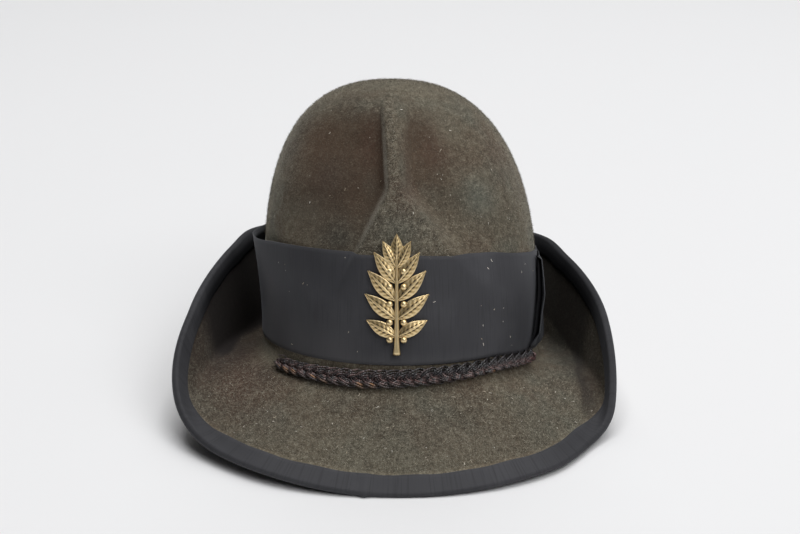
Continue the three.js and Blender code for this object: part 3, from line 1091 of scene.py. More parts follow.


# Painted patches by part and tint: painted shade where the cap lies darker, painted light where it lies
# lighter, with the hue shifted too.
PAINTED_PATCHES: dict[tuple[Zone, Tint], tuple[Patch, ...]] = {
    (Zone.CROWN, Tint.RUST): (
        Patch(21, 107, 8, 11, 0.5),
        Patch(-12, 110, 7, 14, 0.45),
        Patch(-31, 90, 10, 9, 0.45),
        Patch(3, 84, 6, 10, 0.6),
        Patch(-2.5, 93, 4, 6, 0.25),
        Patch(61, 102, 13, 14, 0.5),
        Patch(-67, 106, 10, 12, 0.65),
        Patch(-11, 71, 4, 6, 0.3),
        Patch(-34, 130, 16, 8, 0.25),
    ),
    (Zone.CROWN, Tint.DIM): (
        Patch(-69, 112, 12, 16, 0.5),
        Patch(-25, 67, 9, 11, 0.6),
        Patch(-24, 61, 12, 7, 0.5),
        Patch(-34, 130, 16, 8, 0.35),
        Patch(-30, 92, 14, 13, 0.45),
        Patch(-11, 71, 3.5, 6, 0.3),
        Patch(-5, 122, 6, 7, 0.25),
        Patch(15, 70, 6, 8, 0.3),
    ),
    (Zone.CROWN, Tint.PALE): (
        Patch(5, 140, 70, 9, 0.55),
        Patch(30, 128, 16, 9, 0.25),
        Patch(30, 114, 9, 9, 0.4),
        Patch(-28, 116, 10, 6, 0.1),
        Patch(8, 61, 12, 10, 0.2),
        Patch(-52, 67, 14, 12, 0.25),
        Patch(-45, 1, 20, 5, 0.8),
    ),
    (Zone.CROWN, Tint.GREEN): (
        Patch(0, 69, 9, 9, 0.5),
        Patch(-39, 77, 8, 8, 0.15),
        Patch(-11, 88, 4, 7, 0.14),
        Patch(38, 82, 10, 10, 0.75),
    ),
    (Zone.BRIM, Tint.RUST): (
        Patch(-78, 14, 22, 20, 0.75),
        Patch(-58, 32, 15, 18, 0.55),
        Patch(-72, 52, 10, 12, 0.45),
        Patch(-57, 15, 7, 9, 0.4),
        Patch(-44, 40, 16, 18, 0.3),
        Patch(-16, 19, 10, 8, 0.25),
    ),
    (Zone.BRIM, Tint.DIM): (
        Patch(-56, 14, 8, 8, 0.4),
        Patch(-60, 53, 9, 12, 0.65),
        Patch(-16, 19, 10, 8, 0.12),
        Patch(20, 22, 9, 12, 0.35),
        Patch(34, 42, 9, 16, 0.2),
        Patch(66, 22, 10, 14, 0.3),
    ),
    (Zone.BRIM, Tint.PALE): (Patch(-58, 3, 22, 6, 1.0),),
    (Zone.BAND, Tint.DIM): (Patch(-32, 48, 16, 12, 0.28), Patch(54, 18, 12, 26, 0.3)),
    (Zone.BAND, Tint.PALE): (
        Patch(-63, 22, 9, 17, 0.5),
        Patch(-46, 6, 10, 14, 0.45),
        Patch(-67, 6, 9, 12, 0.5),
        Patch(-26, 5, 10, 12, 0.35),
        Patch(5, -1, 45, 5, 0.3),
    ),
}


def painted_patch_share(tint: Tint, zone: Zone, angle: Array, along: Array) -> Array:
    """How far places of the cloth take the tint of the painted patches, which paint light and shade and
    shift the hue.

    Args:
        tint: Tint of the patches.
        zone: Part of the cap.
        angle: Degrees round from the front.
        along: Heights on the crown, reaches on the brim, or distances up the band.

    Returns:
        Shares from 0 to 1.
    """
    total = np.zeros(np.broadcast_shapes(angle.shape, along.shape))
    for patch in PAINTED_PATCHES.get((zone, tint), ()):
        aside = (angle - patch.angle) / patch.spread
        off = (along - patch.along) / patch.tall
        total = total + patch.share * np.exp(-aside * aside - off * off)
    return np.minimum(total, 1.0)


@dataclass(frozen=True)
class ShadeRow:
    """Painted shade in the gutter between the turned-up brim and the crown, at one angle.

    Attributes:
        angle: Degrees from the front.
        start: Distance past the middle of the fold where the shade starts.
        run: Distance over which it deepens.
        depth: How deep it gets.
    """

    angle: float
    start: float
    run: float
    depth: float


@dataclass(frozen=True)
class GutterShade:
    """Painted shade in the gutter on one side of the cap.

    Attributes:
        rows: The painted shade of the turned-up side, from the front backwards.
        bounce: How far the front of the side is lit again towards its edge.
        floor: Painted shade of the brim below the side, by the distance past the middle of the fold.
        lit_past: The lit share, by the distance past the start of the shade.
        lit_front: The lit share, by the degrees from the front.
        floor_side: The floor's shade, by the degrees from the front.
        floor_foot: The floor's shade, by the reach.
    """

    rows: tuple[ShadeRow, ...]
    bounce: float
    floor: Ease
    lit_past: Ease = Ease(5, 19)
    lit_front: Ease = Ease(72, 86, 1, 0)
    floor_side: Ease = Ease(56, 74)
    floor_foot: Ease = Ease(6, 18, 0.6, 1)

    def share(self, away: Array, reach: Array, past: Array) -> Array:
        """How far places lie in the shade.

        Args:
            away: Degrees from the front.
            reach: Distances over the felt from the brim line.
            past: Distances past the middle of the fold.

        Returns:
            Shares from 0 to 1.
        """
        names = ("start", "run", "depth")
        start, run, depth = (interpolated(self.rows, "angle", name, away) for name in names)
        lit = self.bounce * self.lit_past(past - start) * self.lit_front(away)
        deep = depth * smoothstep((past - start) / run, 0, 1)
        near = self.floor(past) * self.floor_side(away) * self.floor_foot(reach)
        return np.maximum(deep * (1 - lit), near)


LEFT_SHADE = GutterShade(
    rows=(
        ShadeRow(54, -13, 5, 0.0),
        ShadeRow(58, -14, 4, 0.5),
        ShadeRow(62, -14, 4, 0.72),
        ShadeRow(68, -14, 5, 0.8),
        ShadeRow(72, -14.5, 7, 0.85),
        ShadeRow(78, -11, 8, 0.88),
        ShadeRow(84, -9, 9, 0.9),
        ShadeRow(94, -4, 10, 0.9),
        ShadeRow(107, 2, 12, 0.9),
    ),
    bounce=0.85,
    floor=Ease(-26, -4, 0, 0.62),
)
RIGHT_SHADE = GutterShade(
    rows=(
        ShadeRow(58, -9, 9, 0.0),
        ShadeRow(64, -9, 9, 0.2),
        ShadeRow(68, -9, 9, 0.38),
        ShadeRow(72, -10, 9, 0.5),
        ShadeRow(76, -11, 9, 0.72),
        ShadeRow(79, -13, 8, 0.9),
        ShadeRow(82, -13, 8, 1.0),
        ShadeRow(96, -8, 10, 1.0),
    ),
    bounce=0.0,
    floor=Ease(-36, -10, 0, 0.6),
)


@dataclass
class FeltHood:
    """Crown and brim of felt, with a nap of short fibres."""

    form: CapForm
    band: "HatBand"
    columns: int = 288
    crown_rows: int = 76
    brim_rows: int = 56
    inner_rows: int = 34
    crown_crowding: float = 0.9
    brim_crowding: float = 1.15
    edge_round: Ease = Ease(0.985, 1.0, 0, -0.7)
    edge_out: float = 0.35
    shade: float = 0.96
    left_shade: GutterShade = LEFT_SHADE
    right_shade: GutterShade = RIGHT_SHADE
    paler_reach: Ease = Ease(18, 58, 0, 0.55)
    paler_side: Ease = Ease(15, 55, 1, 0)
    sunk: Ease = Ease(0.03, 0.6, 0, 0.9)
    sunk_height: Ease = Ease(58, 86, 0.45, 1)
    left_side: Ease = Ease(0, 4)
    left_across: Ease = Ease(16, 36, 0.85, 0.17)
    left_height: Ease = Ease(76, 100, 0.35, 1)
    fibres: int = 125000
    fibre_length: Span = (0.8, 2.3)
    fibre_width: float = 0.15
    fibre_rise: Span = (6.0, 40.0)
    crest_growth: float = 0.3
    hollow_loss: float = 0.35
    hollow_calm: float = 0.6
    hollow_thinning: float = 0.45
    crown_contrast: Span = (0.6, 1.0)
    brim_contrast: float = 0.9
    nap_crowding: float = 0.35
    crown_nap: Span = (0.0, 0.8)
    crown_nap_gap: float = 0.5
    brim_nap: Span = (0.01, 1.0)
    brim_nap_foot: float = 3.0
    brim_nap_bare: float = 14.0
    brim_nap_shade: float = 0.9
    seed: int = 11

    def crown_heights(self, angle: Array, rows: int) -> Array:
        """Heights of the crown's rows for each column, closer together at the top.

        Args:
            angle: Degrees round from the front, as a column.
            rows: Number of rows.

        Returns:
            Heights by column and row, from the top down.
        """
        foot = self.form.table.value("dip", angle)
        fall = np.cos(0.5 * np.pi * (np.arange(1, rows + 1) / rows) ** self.crown_crowding)
        return foot + (self.form.height - foot) * fall

    def brim_shares(self, rows: int) -> Array:
        """Shares of the brim's width at its rows, closer together at the crown."""
        return (np.arange(1, rows + 1) / rows) ** self.brim_crowding

    def build(self) -> Piece:
        """Makes the felt's mesh, outside and inside.

        Returns:
            The felt as one closed object.
        """
        form = self.form
        angle = form.columns(self.columns)[:, None]
        width = form.table.value("width", angle)
        heights = self.crown_heights(angle, self.crown_rows)
        share = self.brim_shares(self.brim_rows)
        top = np.broadcast_to([form.lean, 0.0, form.height], (self.columns, 1, 3))
        inner_heights = self.crown_heights(angle, self.inner_rows)[:, ::-1]
        faces = [
            top,
            form.crown(angle, heights),
            form.off_brim(angle, width * share, self.edge_round(share)),
            form.off_brim(angle, width + self.edge_out, -0.5 * form.felt),
            form.off_brim(angle, width * self.brim_shares(self.inner_rows)[::-1], -form.felt),
            form.off_crown(angle, inner_heights, -form.felt),
            top - [0, 0, form.felt],
        ]
        loops = np.concatenate(faces, axis=1)
        marks: Marks = {}
        crown = slice(1, 1 + self.crown_rows)
        brim = slice(crown.stop, crown.stop + self.brim_rows)
        for zone, rows, along in ((Zone.CROWN, crown, heights), (Zone.BRIM, brim, width * share)):
            for name, values in self.marks(zone, angle, along).items():
                marks.setdefault(name, np.zeros(loops.shape[:2]))[:, rows] = values
        around = np.arange(self.columns + 1.0)
        return Skin(loops, True, around, np.arange(loops.shape[1] + 1.0), marks).piece("felt", form)

    def marks(self, zone: Zone, angle: Array, along: Array) -> Marks:
        """What the felt is marked with at places of the crown or the brim.

        Args:
            zone: Part of the felt.
            angle: Degrees round from the front.
            along: Heights on the crown, or reaches on the brim.

        Returns:
            Shares from 0 to 1, by the name of the mark.
        """
        none = np.zeros(np.broadcast_shapes(angle.shape, along.shape))
        marks = {name: none for name in ("hollow", "crest", "gutter", "faded")}
        if zone is Zone.CROWN:
            marks["hollow"], marks["crest"] = self.relief(angle, along)
        else:
            # Painted shade in the gutter between the turned-up side and the crown.
            marks["gutter"] = self.shade * self.gutter(angle, along)
            # Paler towards the front edge of the brim.
            marks["faded"] = self.paler_reach(along) * self.paler_side(np.abs(angle))
        return marks | {tint.value: painted_patch_share(tint, zone, angle, along) for tint in Tint}

    def relief(self, angle: Array, height: Array) -> tuple[Array, Array]:
        """Where places on the crown lie in its relief.

        Args:
            angle: Degrees round from the front.
            height: Heights above the brim line.

        Returns:
            How far they lie in the hollows, and how far on the crest between them.
        """
        form = self.form
        x, y, _ = form.plan(angle, height)
        pressed = form.pinch(x, y, height) / form.hollows[0].depth
        hollow = self.sunk(pressed) * self.sunk_height(height)
        left = self.left_across(x) * self.left_height(height)
        return hollow * mixed(1.0, left, self.left_side(x)), form.crest(x, y, height)

    def gutter(self, angle: Array, reach: Array) -> Array:
        """How far places on the brim take the painted shade between the turned-up side and the crown.

        Args:
            angle: Degrees round from the front.
            reach: Distances over the felt from the brim line.

        Returns:
            Shares from 0 to 1.
        """
        table = self.form.table
        past = reach - table.value("floor", angle) - 0.5 * table.value("fold", angle)
        place = (np.abs(angle), reach, past)
        return np.where(angle > 0, self.left_shade.share(*place), self.right_shade.share(*place))

    def crown_spread(self, share: Array) -> Array:
        """Heights that spread places evenly over the crown.

        Args:
            share: Shares of the crown's area from the top down.

        Returns:
            Heights above the brim line.
        """
        form = self.form
        radius = np.sin(np.linspace(0, 0.5 * np.pi, 500))
        rise = np.maximum(1 - radius**form.dome_power, 0) ** (1 / form.side_power)
        girth = 0.5 * (form.half_width + form.half_length)
        steps = np.hypot(np.diff(radius) * girth, np.diff(rise) * form.height)
        area = np.append(0, np.cumsum(steps * (radius[1:] + radius[:-1])))
        return form.height * np.interp(share * area[-1], area, rise)

    def rooted(self, zone: Zone, rng: Random) -> tuple[Array, Array, Array]:
        """Places that the fibres of the nap may grow from.

        Args:
            zone: Part of the felt that they stand on.
            rng: Source of the places.

        Returns:
            Angles, heights or reaches, and whether a fibre shows there.
        """
        turn = rng.uniform(-np.pi, np.pi, self.fibres)
        angle = np.degrees(turn - self.nap_crowding * np.sin(turn))
        if zone is Zone.CROWN:
            height = self.crown_spread(rng.uniform(*self.crown_nap, self.fibres))
            return angle, height, height > self.band.height(angle, 1.0) + self.crown_nap_gap
        width = self.form.table.value("width", angle) - self.brim_nap_bare
        reach = self.brim_nap_foot + width * np.sqrt(rng.uniform(*self.brim_nap, self.fibres))
        # Fewer fibres where the gutter's painted shade is deeper.
        return angle, reach, rng.uniform(0, self.brim_nap_shade, self.fibres) > self.gutter(angle, reach)

    def nap(self, zone: Zone) -> Piece:
        """Makes the short fibres that stand off the felt.

        Args:
            zone: Part of the felt that they stand on.

        Returns:
            One object with a sliver of a triangle for each fibre.
        """
        form = self.form
        rng = np.random.default_rng(self.seed + len(zone.value))
        angle, along, kept = self.rooted(zone, rng)
        marks = self.marks(zone, angle, along)
        hollow, crest = marks["hollow"], marks["crest"]
        if zone is Zone.CROWN:
            roots, normal = form.crown(angle, along), form.crown_normal(angle, along)
            contrast = mixed(*self.crown_contrast, crest)
        else:
            roots, normal = form.brim(angle, along), form.normal(form.brim, angle, along)
            contrast = self.brim_contrast
        spread = rng.normal(size=(self.fibres, 3))
        spread = unit(spread - normal * np.einsum("ij,ij->i", spread, normal)[:, None])
        steep = np.radians(rng.uniform(*self.fibre_rise, self.fibres))[:, None]
        growth = 1 + self.crest_growth * crest - self.hollow_loss * hollow
        length = rng.uniform(*self.fibre_length, self.fibres) * growth
        way = spread * np.cos(steep) + normal * np.sin(steep)
        side = 0.5 * self.fibre_width * unit(np.cross(way, normal))
        corners = np.stack([roots - side, roots + side, roots + way * length[:, None]], axis=1)
        tint = rng.uniform(0, 1, self.fibres) - 0.5
        marks["tint"] = 0.5 + tint * contrast * (1 - self.hollow_calm * hollow)
        kept &= rng.uniform(0, 1, self.fibres) > self.hollow_thinning * hollow
        points = form.settled(corners[kept].reshape(-1, 3))
        faces = np.arange(len(points)).reshape(-1, 3).tolist()
        shown = {name: np.repeat(values[kept], 3) for name, values in marks.items()}
        return mesh_piece(zone.value, points, faces, shown)

    def dress(self) -> list[Piece]:
        """Builds the felt and its nap and gives them their finishes.

        Returns:
            The finished pieces.
        """
        felt = dressed(self.build(), FeltFinish().material(), Slot.FELT, "felt_hood")
        fibres = NapFinish().material()
        return [felt] + [dressed(self.nap(zone), fibres, Slot.FELT) for zone in (Zone.CROWN, Zone.BRIM)]


@dataclass
class HatBand:
    """Wide ribbon round the foot of the crown."""

    form: CapForm
    width: float = 53.5
    rise: float = 3.5
    gap: float = 0.15
    thickness: float = 0.7
    edge: float = 0.3
    flare: Ease = Ease(0, 60, 6.2, 0)
    flare_angle: float = -92.0
    ripple: Wave = Wave(0.12, 9, 1.3)
    inner_shade: float = 0.95
    lit_rows: int = 2
    columns: int = 300
    crowding: float = 0.4
    rows: int = 30

    def bottom(self, angle: Array) -> Array:
        """Height of the lower edge."""
        return self.form.table.value("dip", angle) + self.rise

    def height(self, angle: Array, share: Array) -> Array:
        """Height at a share of the way up the ribbon."""
        return self.bottom(angle) + share * (self.width - self.form.table.value("band_drop", angle))

    def standoff(self, angle: Array, share: Array) -> Array:
        """How far the ribbon stands off the crown, most at the wearer's right."""
        flare = self.flare(np.abs(angle - self.flare_angle))
        return (flare + self.ripple.size + self.ripple.at(angle)) * share**2

    def build(self) -> Piece:
        """Makes the ribbon's mesh.

        Returns:
            The band as one closed ring.
        """
        form = self.form
        angle = form.columns(self.columns, self.crowding)[:, None]
        share = np.linspace(1, 0, self.rows)[None, :]
        lift = self.gap + self.standoff(angle, share)
        heights = self.height(angle, share)
        inner = form.off_crown(angle, heights, lift)
        outer = form.off_crown(angle, heights, lift + self.thickness)
        middle = lift + 0.5 * self.thickness
        low = form.off_crown(angle, heights[:, -1:] - self.edge, middle[:, -1:])
        high = form.off_crown(angle, heights[:, :1] + self.edge, middle[:, :1])
        loops = np.concatenate([inner, low, outer[:, ::-1], high], axis=1)
        up = np.linspace(0, self.width, self.rows)
        across = np.concatenate([up, [self.width + self.edge], up[::-1], [-self.edge, 0.0]])
        marks = {name: np.zeros(loops.shape[:2]) for name in ("gutter", Tint.PALE.value)}
        face = slice(self.rows + 1, 2 * self.rows + 1)
        # Painted shade on the inner face below the top rows; on the outer face the dim patches paint shade
        # through the gutter mark and the pale patches paint light.
        marks["gutter"][:, self.lit_rows : self.rows] = self.inner_shade
        marks["gutter"][:, face] = painted_patch_share(Tint.DIM, Zone.BAND, angle, up[None, :])
        marks[Tint.PALE.value][:, face] = painted_patch_share(Tint.PALE, Zone.BAND, angle, up[None, :])
        return Skin(loops, True, distances(outer[:, 0], True), across, marks).piece("band", form)

    def dress(self) -> list[Piece]:
        """Builds the band and gives it its finish."""
        finish = RibbonFinish("band_ribbon", ribs=1.3, rib_depth=0.00007, rib_tone=0.3)
        return [dressed(self.build(), finish.material(), Slot.RIBBON, "hat_band")]


@dataclass
class BrimBinding:
    """Ribbon folded over the brim's edge."""

    form: CapForm
    width: float = 9.0
    gap: float = 0.12
    thickness: float = 0.9
    waves: tuple[Wave, ...] = (Wave(0.18, 31), Wave(0.14, 17, 0.8))
    seam_angle: float = -8.0
    seam_width: float = 0.9
    seam_rise: float = 0.5
    tuck: Ease = Ease(0, 0.06, 0.7, 0)
    overhang: float = 0.15
    fold_half: float = 80.0
    fold_rows: int = 7
    fold_flat: float = 0.8
    inner_fold: Span = (0.4, 0.3)
    left_edge_shade: float = 0.6
    right_edge_shade: float = 0.3
    edge_shade_run: float = 0.65
    gutter_front: Ease = Ease(60, 85, 0, 0.93)
    gutter_back: Ease = Ease(120, 150, 1, 0)
    side_shade: Ease = Ease(24, 52, 0, 0.24)
    shaded_fold_rows: int = 4
    columns: int = 420
    crowding: float = 0.3
    leg_rows: int = 9

    def build(self) -> Piece:
        """Makes the ribbon's mesh.

        Returns:
            The binding as one closed ring.
        """
        form = self.form
        angle = form.columns(self.columns, self.crowding)[:, None]
        edge = form.table.value("width", angle)
        leg = np.linspace(0, 1, self.leg_rows)[None, :]
        reach = edge - (self.width + sum(wave.at(angle) for wave in self.waves)) * (1 - leg)
        seam = self.seam_rise * bell(angle, self.seam_angle, self.seam_width)
        far = self.gap + self.thickness + seam
        tuck = self.thickness * self.tuck(leg)
        fold = np.radians(np.linspace(self.fold_half, -self.fold_half, self.fold_rows))[None, :]
        out, up = np.cos(fold), np.sin(fold)
        inner = 0.5 * form.felt + self.gap
        outer = inner + self.thickness + seam
        middle = -0.5 * form.felt
        bend_out = form.off_brim(angle, edge + (self.fold_flat * outer + seam) * out, middle + outer * up)
        start, deep = self.inner_fold
        loops = np.concatenate(
            [
                form.off_brim(angle, reach, self.gap),
                form.off_brim(angle, edge + start + deep * out, middle + inner * up),
                form.off_brim(angle, reach[:, ::-1], -form.felt - self.gap),
                form.off_brim(angle, reach - self.overhang, tuck - form.felt - far),
                bend_out[:, ::-1],
                form.off_brim(angle, reach[:, ::-1] - self.overhang, far - tuck[:, ::-1]),
            ],
            axis=1,
        )
        across = np.linspace(0, 4 * self.width, loops.shape[1] + 1)
        # Painted shade on the fold and the inner leg.
        shade = np.zeros(loops.shape[:2])
        shade[:, -self.leg_rows - self.shaded_fold_rows : -self.leg_rows] = self.shaded(angle, 0.0)
        shade[:, -self.leg_rows :] = self.shaded(angle, (edge - reach)[:, ::-1])
        along = distances(form.off_brim(angle, edge, far)[:, 0], True)
        return Skin(loops, True, along, across, {"gutter": shade}).piece("binding", form)

    def shaded(self, angle: Array, inwards: Array) -> Array:
        """How far places on the ribbon take painted shade: deep between the turned-up side and the crown,
        light along the sides and back.

        Args:
            angle: Degrees round from the front.
            inwards: Distances from the brim's edge.

        Returns:
            Shares from 0 to 1.
        """
        away = np.abs(angle)
        edge = np.where(angle > 0, self.left_edge_shade, self.right_edge_shade)
        deep = mixed(edge, 1.0, smoothstep(inwards, 0, self.edge_shade_run * self.width))
        return np.maximum(deep * self.gutter_front(away) * self.gutter_back(away), self.side_shade(away))

    def dress(self) -> list[Piece]:
        """Builds the binding and gives it its finish."""
        finish = RibbonFinish("binding_ribbon", ribs=1.0, rib_depth=0.00012, rib_tone=0.45)
        return [dressed(self.build(), finish.material(), Slot.RIBBON, "brim_binding")]


@dataclass(frozen=True)
class Bulge:
    """Half thickness of a loop of the bow, at a share of the way up the ribbon."""

    share: float
    half: float


@dataclass
class SideBow:
    """Flat bow of ribbon on the band, two loops drawn in by a wrapped knot."""

    form: CapForm
    band: HatBand
    angle: float = 98.0
    slant: float = 21.0
    rise: float = 2.0
    height: float = 46.0
    loop_length: float = 52.0
    curl: Span = (16.0, 2.0)
    bulges: tuple[Bulge, ...] = (
        Bulge(0.0, 0.5),
        Bulge(0.06, 1.1),
        Bulge(0.15, 2.8),
        Bulge(0.24, 2.85),
        Bulge(0.37, 2.85),
        Bulge(0.57, 3.4),
        Bulge(0.68, 3.0),
        Bulge(0.82, 2.5),
        Bulge(0.97, 2.0),
        Bulge(1.0, 0.9),
    )
    pinched_half: float = 0.35
    pinch_middle: float = 1.6
    tuck: Ease = Ease(0.6, 1.8, 0, 13)
    tuck_power: int = 24
    seat: float = 0.3
    ribbon: float = 0.6
    tuck_shade: Ease = Ease(0.88, 0.93, 0, 0.97)
    inner_shade: Ease = Ease(0, 0.2, 0, 0.95)
    back_shade: Ease = Ease(0.4, 0.72, 0.5, 0)
    loop_steps: int = 64
    loop_rows: int = 28
    knot_width: float = 13.0
    knot_low: float = 0.25
    knot_high: float = 2.9
    knot_clear: float = 0.3
    knot_corner: float = 0.16
    knot_pleat: float = 0.18
    knot_pleats: float = 1.9
    knot_shade: float = 0.4
    knot_steps: int = 72
    knot_rows: int = 13

    def beside(self, along: Array, up: Array, off: Array) -> Array:
        """Points beside the band.

        Args:
            along: Distances along the band from the bow's middle.
            up: Distances up from the bow's lower edge.
            off: Distances off the band.

        Returns:
            Points, with coordinates along the last axis.
        """
        leaned = along + self.slant * (up / self.height - 0.5)
        angle = self.angle + np.degrees(leaned / self.form.half_length)
        height = self.band.bottom(angle) + self.rise + up
        return self.form.off_crown(angle, height, self.band.gap + self.band.thickness + off)

    def face(self, side: Side, turn: Array, share: Array, outward: float) -> Array:
        """One face of a loop's ribbon.

        Args:
            side: Which way the loop points.
            turn: Angles round the loop.
            share: Shares of the way up the ribbon.
            outward: 1 for the outer face, -1 for the inner one.

        Returns:
            Points by turn and share.
        """
        half_ribbon = 0.5 * outward * self.ribbon
        half = 0.5 * self.loop_length + half_ribbon
        along = 0.5 * self.loop_length + self.ribbon - half * np.cos(turn)
        free = smoothstep(along, 0.5 * self.knot_width, 0.5 * self.loop_length)
        curled = smoothstep(along, self.loop_length - self.curl[0], self.loop_length - self.curl[1])
        swell = mixed(self.pinched_half, interpolated(self.bulges, "share", "half", share), curled)
        middle = mixed(self.pinch_middle, self.seat + 0.5 * self.ribbon + swell, free)
        off = middle + (swell + half_ribbon) * np.sin(turn)
        tucked = self.tuck(swell) * np.maximum(-np.cos(turn), 0) ** self.tuck_power
        return self.beside(side.value * (along - tucked), share * self.height, off)

    def loop(self, side: Side) -> Piece:
        """Makes one loop.

        Args:
            side: Which way the loop points.

        Returns:
            The loop as one closed ring of ribbon.
        """
        turn = circle(self.loop_steps)[:, None]
        share = np.linspace(0, 1, self.loop_rows)[None, :]
        faces = [self.face(side, turn, share, 1.0), self.face(side, turn, share[:, ::-1], -1.0)]
        loops = np.concatenate(faces, axis=1)
        along = np.linspace(0, 2 * self.loop_length, self.loop_steps + 1)
        up = np.linspace(0, self.height, self.loop_rows)
        across = np.concatenate([up, up[::-1], [0.0]])
        tip = -np.cos(turn)
        # Painted shade: in the tuck's groove, on the inner leg, and on the outer face behind the lit rim.
        shade = np.maximum(self.tuck_shade(tip), self.inner_shade(-np.sin(turn)))
        shade = np.maximum(shade, self.back_shade(tip))
        marks = {"gutter": np.broadcast_to(shade, loops.shape[:2])}
        return Skin(loops, True, along, across, marks).piece(f"bow_{side.name.lower()}", self.form)

    def squared(self, wave: Array) -> Array:
        """Squares a wave off, so that the knot's wrap has flat legs."""
        return np.sign(wave) * np.abs(wave) ** self.knot_corner

    def knot(self) -> Piece:
        """Makes the ribbon wrapped round the middle.

        Returns:
            The knot as one closed ring of ribbon.
        """
        turn = circle(self.knot_steps)[:, None]
        sides = np.linspace(-0.5, 0.5, self.knot_rows)[None, :] * self.knot_width
        middle = 0.5 * (self.knot_high + self.knot_low)
        pleats = self.knot_pleat * np.sin(sides * self.knot_pleats) * (np.cos(turn) > 0)
        faces = []
        for inset in (0.0, self.ribbon):
            tall = 0.5 * self.height + self.knot_clear + self.ribbon - inset
            deep = 0.5 * (self.knot_high - self.knot_low) - inset
            up = 0.5 * self.height + tall * self.squared(np.sin(turn))
            faces.append(self.beside(sides, up, middle + deep * self.squared(np.cos(turn)) + pleats))
        loops = np.concatenate([faces[0], faces[1][:, ::-1]], axis=1)
        rows = np.arange(float(self.knot_rows))
        across = np.concatenate([rows, rows[::-1], [0.0]])
        along = np.linspace(0, 2 * self.height, self.knot_steps + 1)
        # Painted shade over the whole wrap.
        marks = {"gutter": np.full(loops.shape[:2], self.knot_shade)}
        return Skin(loops, True, along, across, marks).piece("bow_wrap", self.form)

    def dress(self) -> list[Piece]:
        """Builds the bow and gives it its finish.

        Returns:
            The finished pieces.
        """
        ribbon = RibbonFinish(
            "bow_ribbon", colour=(0.03, 0.031, 0.035), worn=(0.05, 0.051, 0.056), ribs=1.3
        )
        finish = ribbon.material()
        return [
            dressed(self.loop(Side.FRONT), finish, Slot.RIBBON, "bow_loop_front"),
            dressed(self.loop(Side.BACK), finish, Slot.RIBBON, "bow_loop_back"),
            dressed(self.knot(), finish, Slot.RIBBON, "bow_knot"),
        ]


@dataclass(frozen=True)
class BraidRow:
    """The braid at one angle: reach of its middle, half width, and height of its middle off the felt."""

    angle: float
    reach: float
    half_width: float
    lift: float


@dataclass(frozen=True)
class LooseThread:
    """A loose thread of the frayed end: how far it runs past it, where its root lies, and its bends."""

    run: float
    across: float
    aside: float
    curl: float
    up: float
    rise: float
    droop: float = 0.8
    start: float = 0.012
    radius: float = 0.17


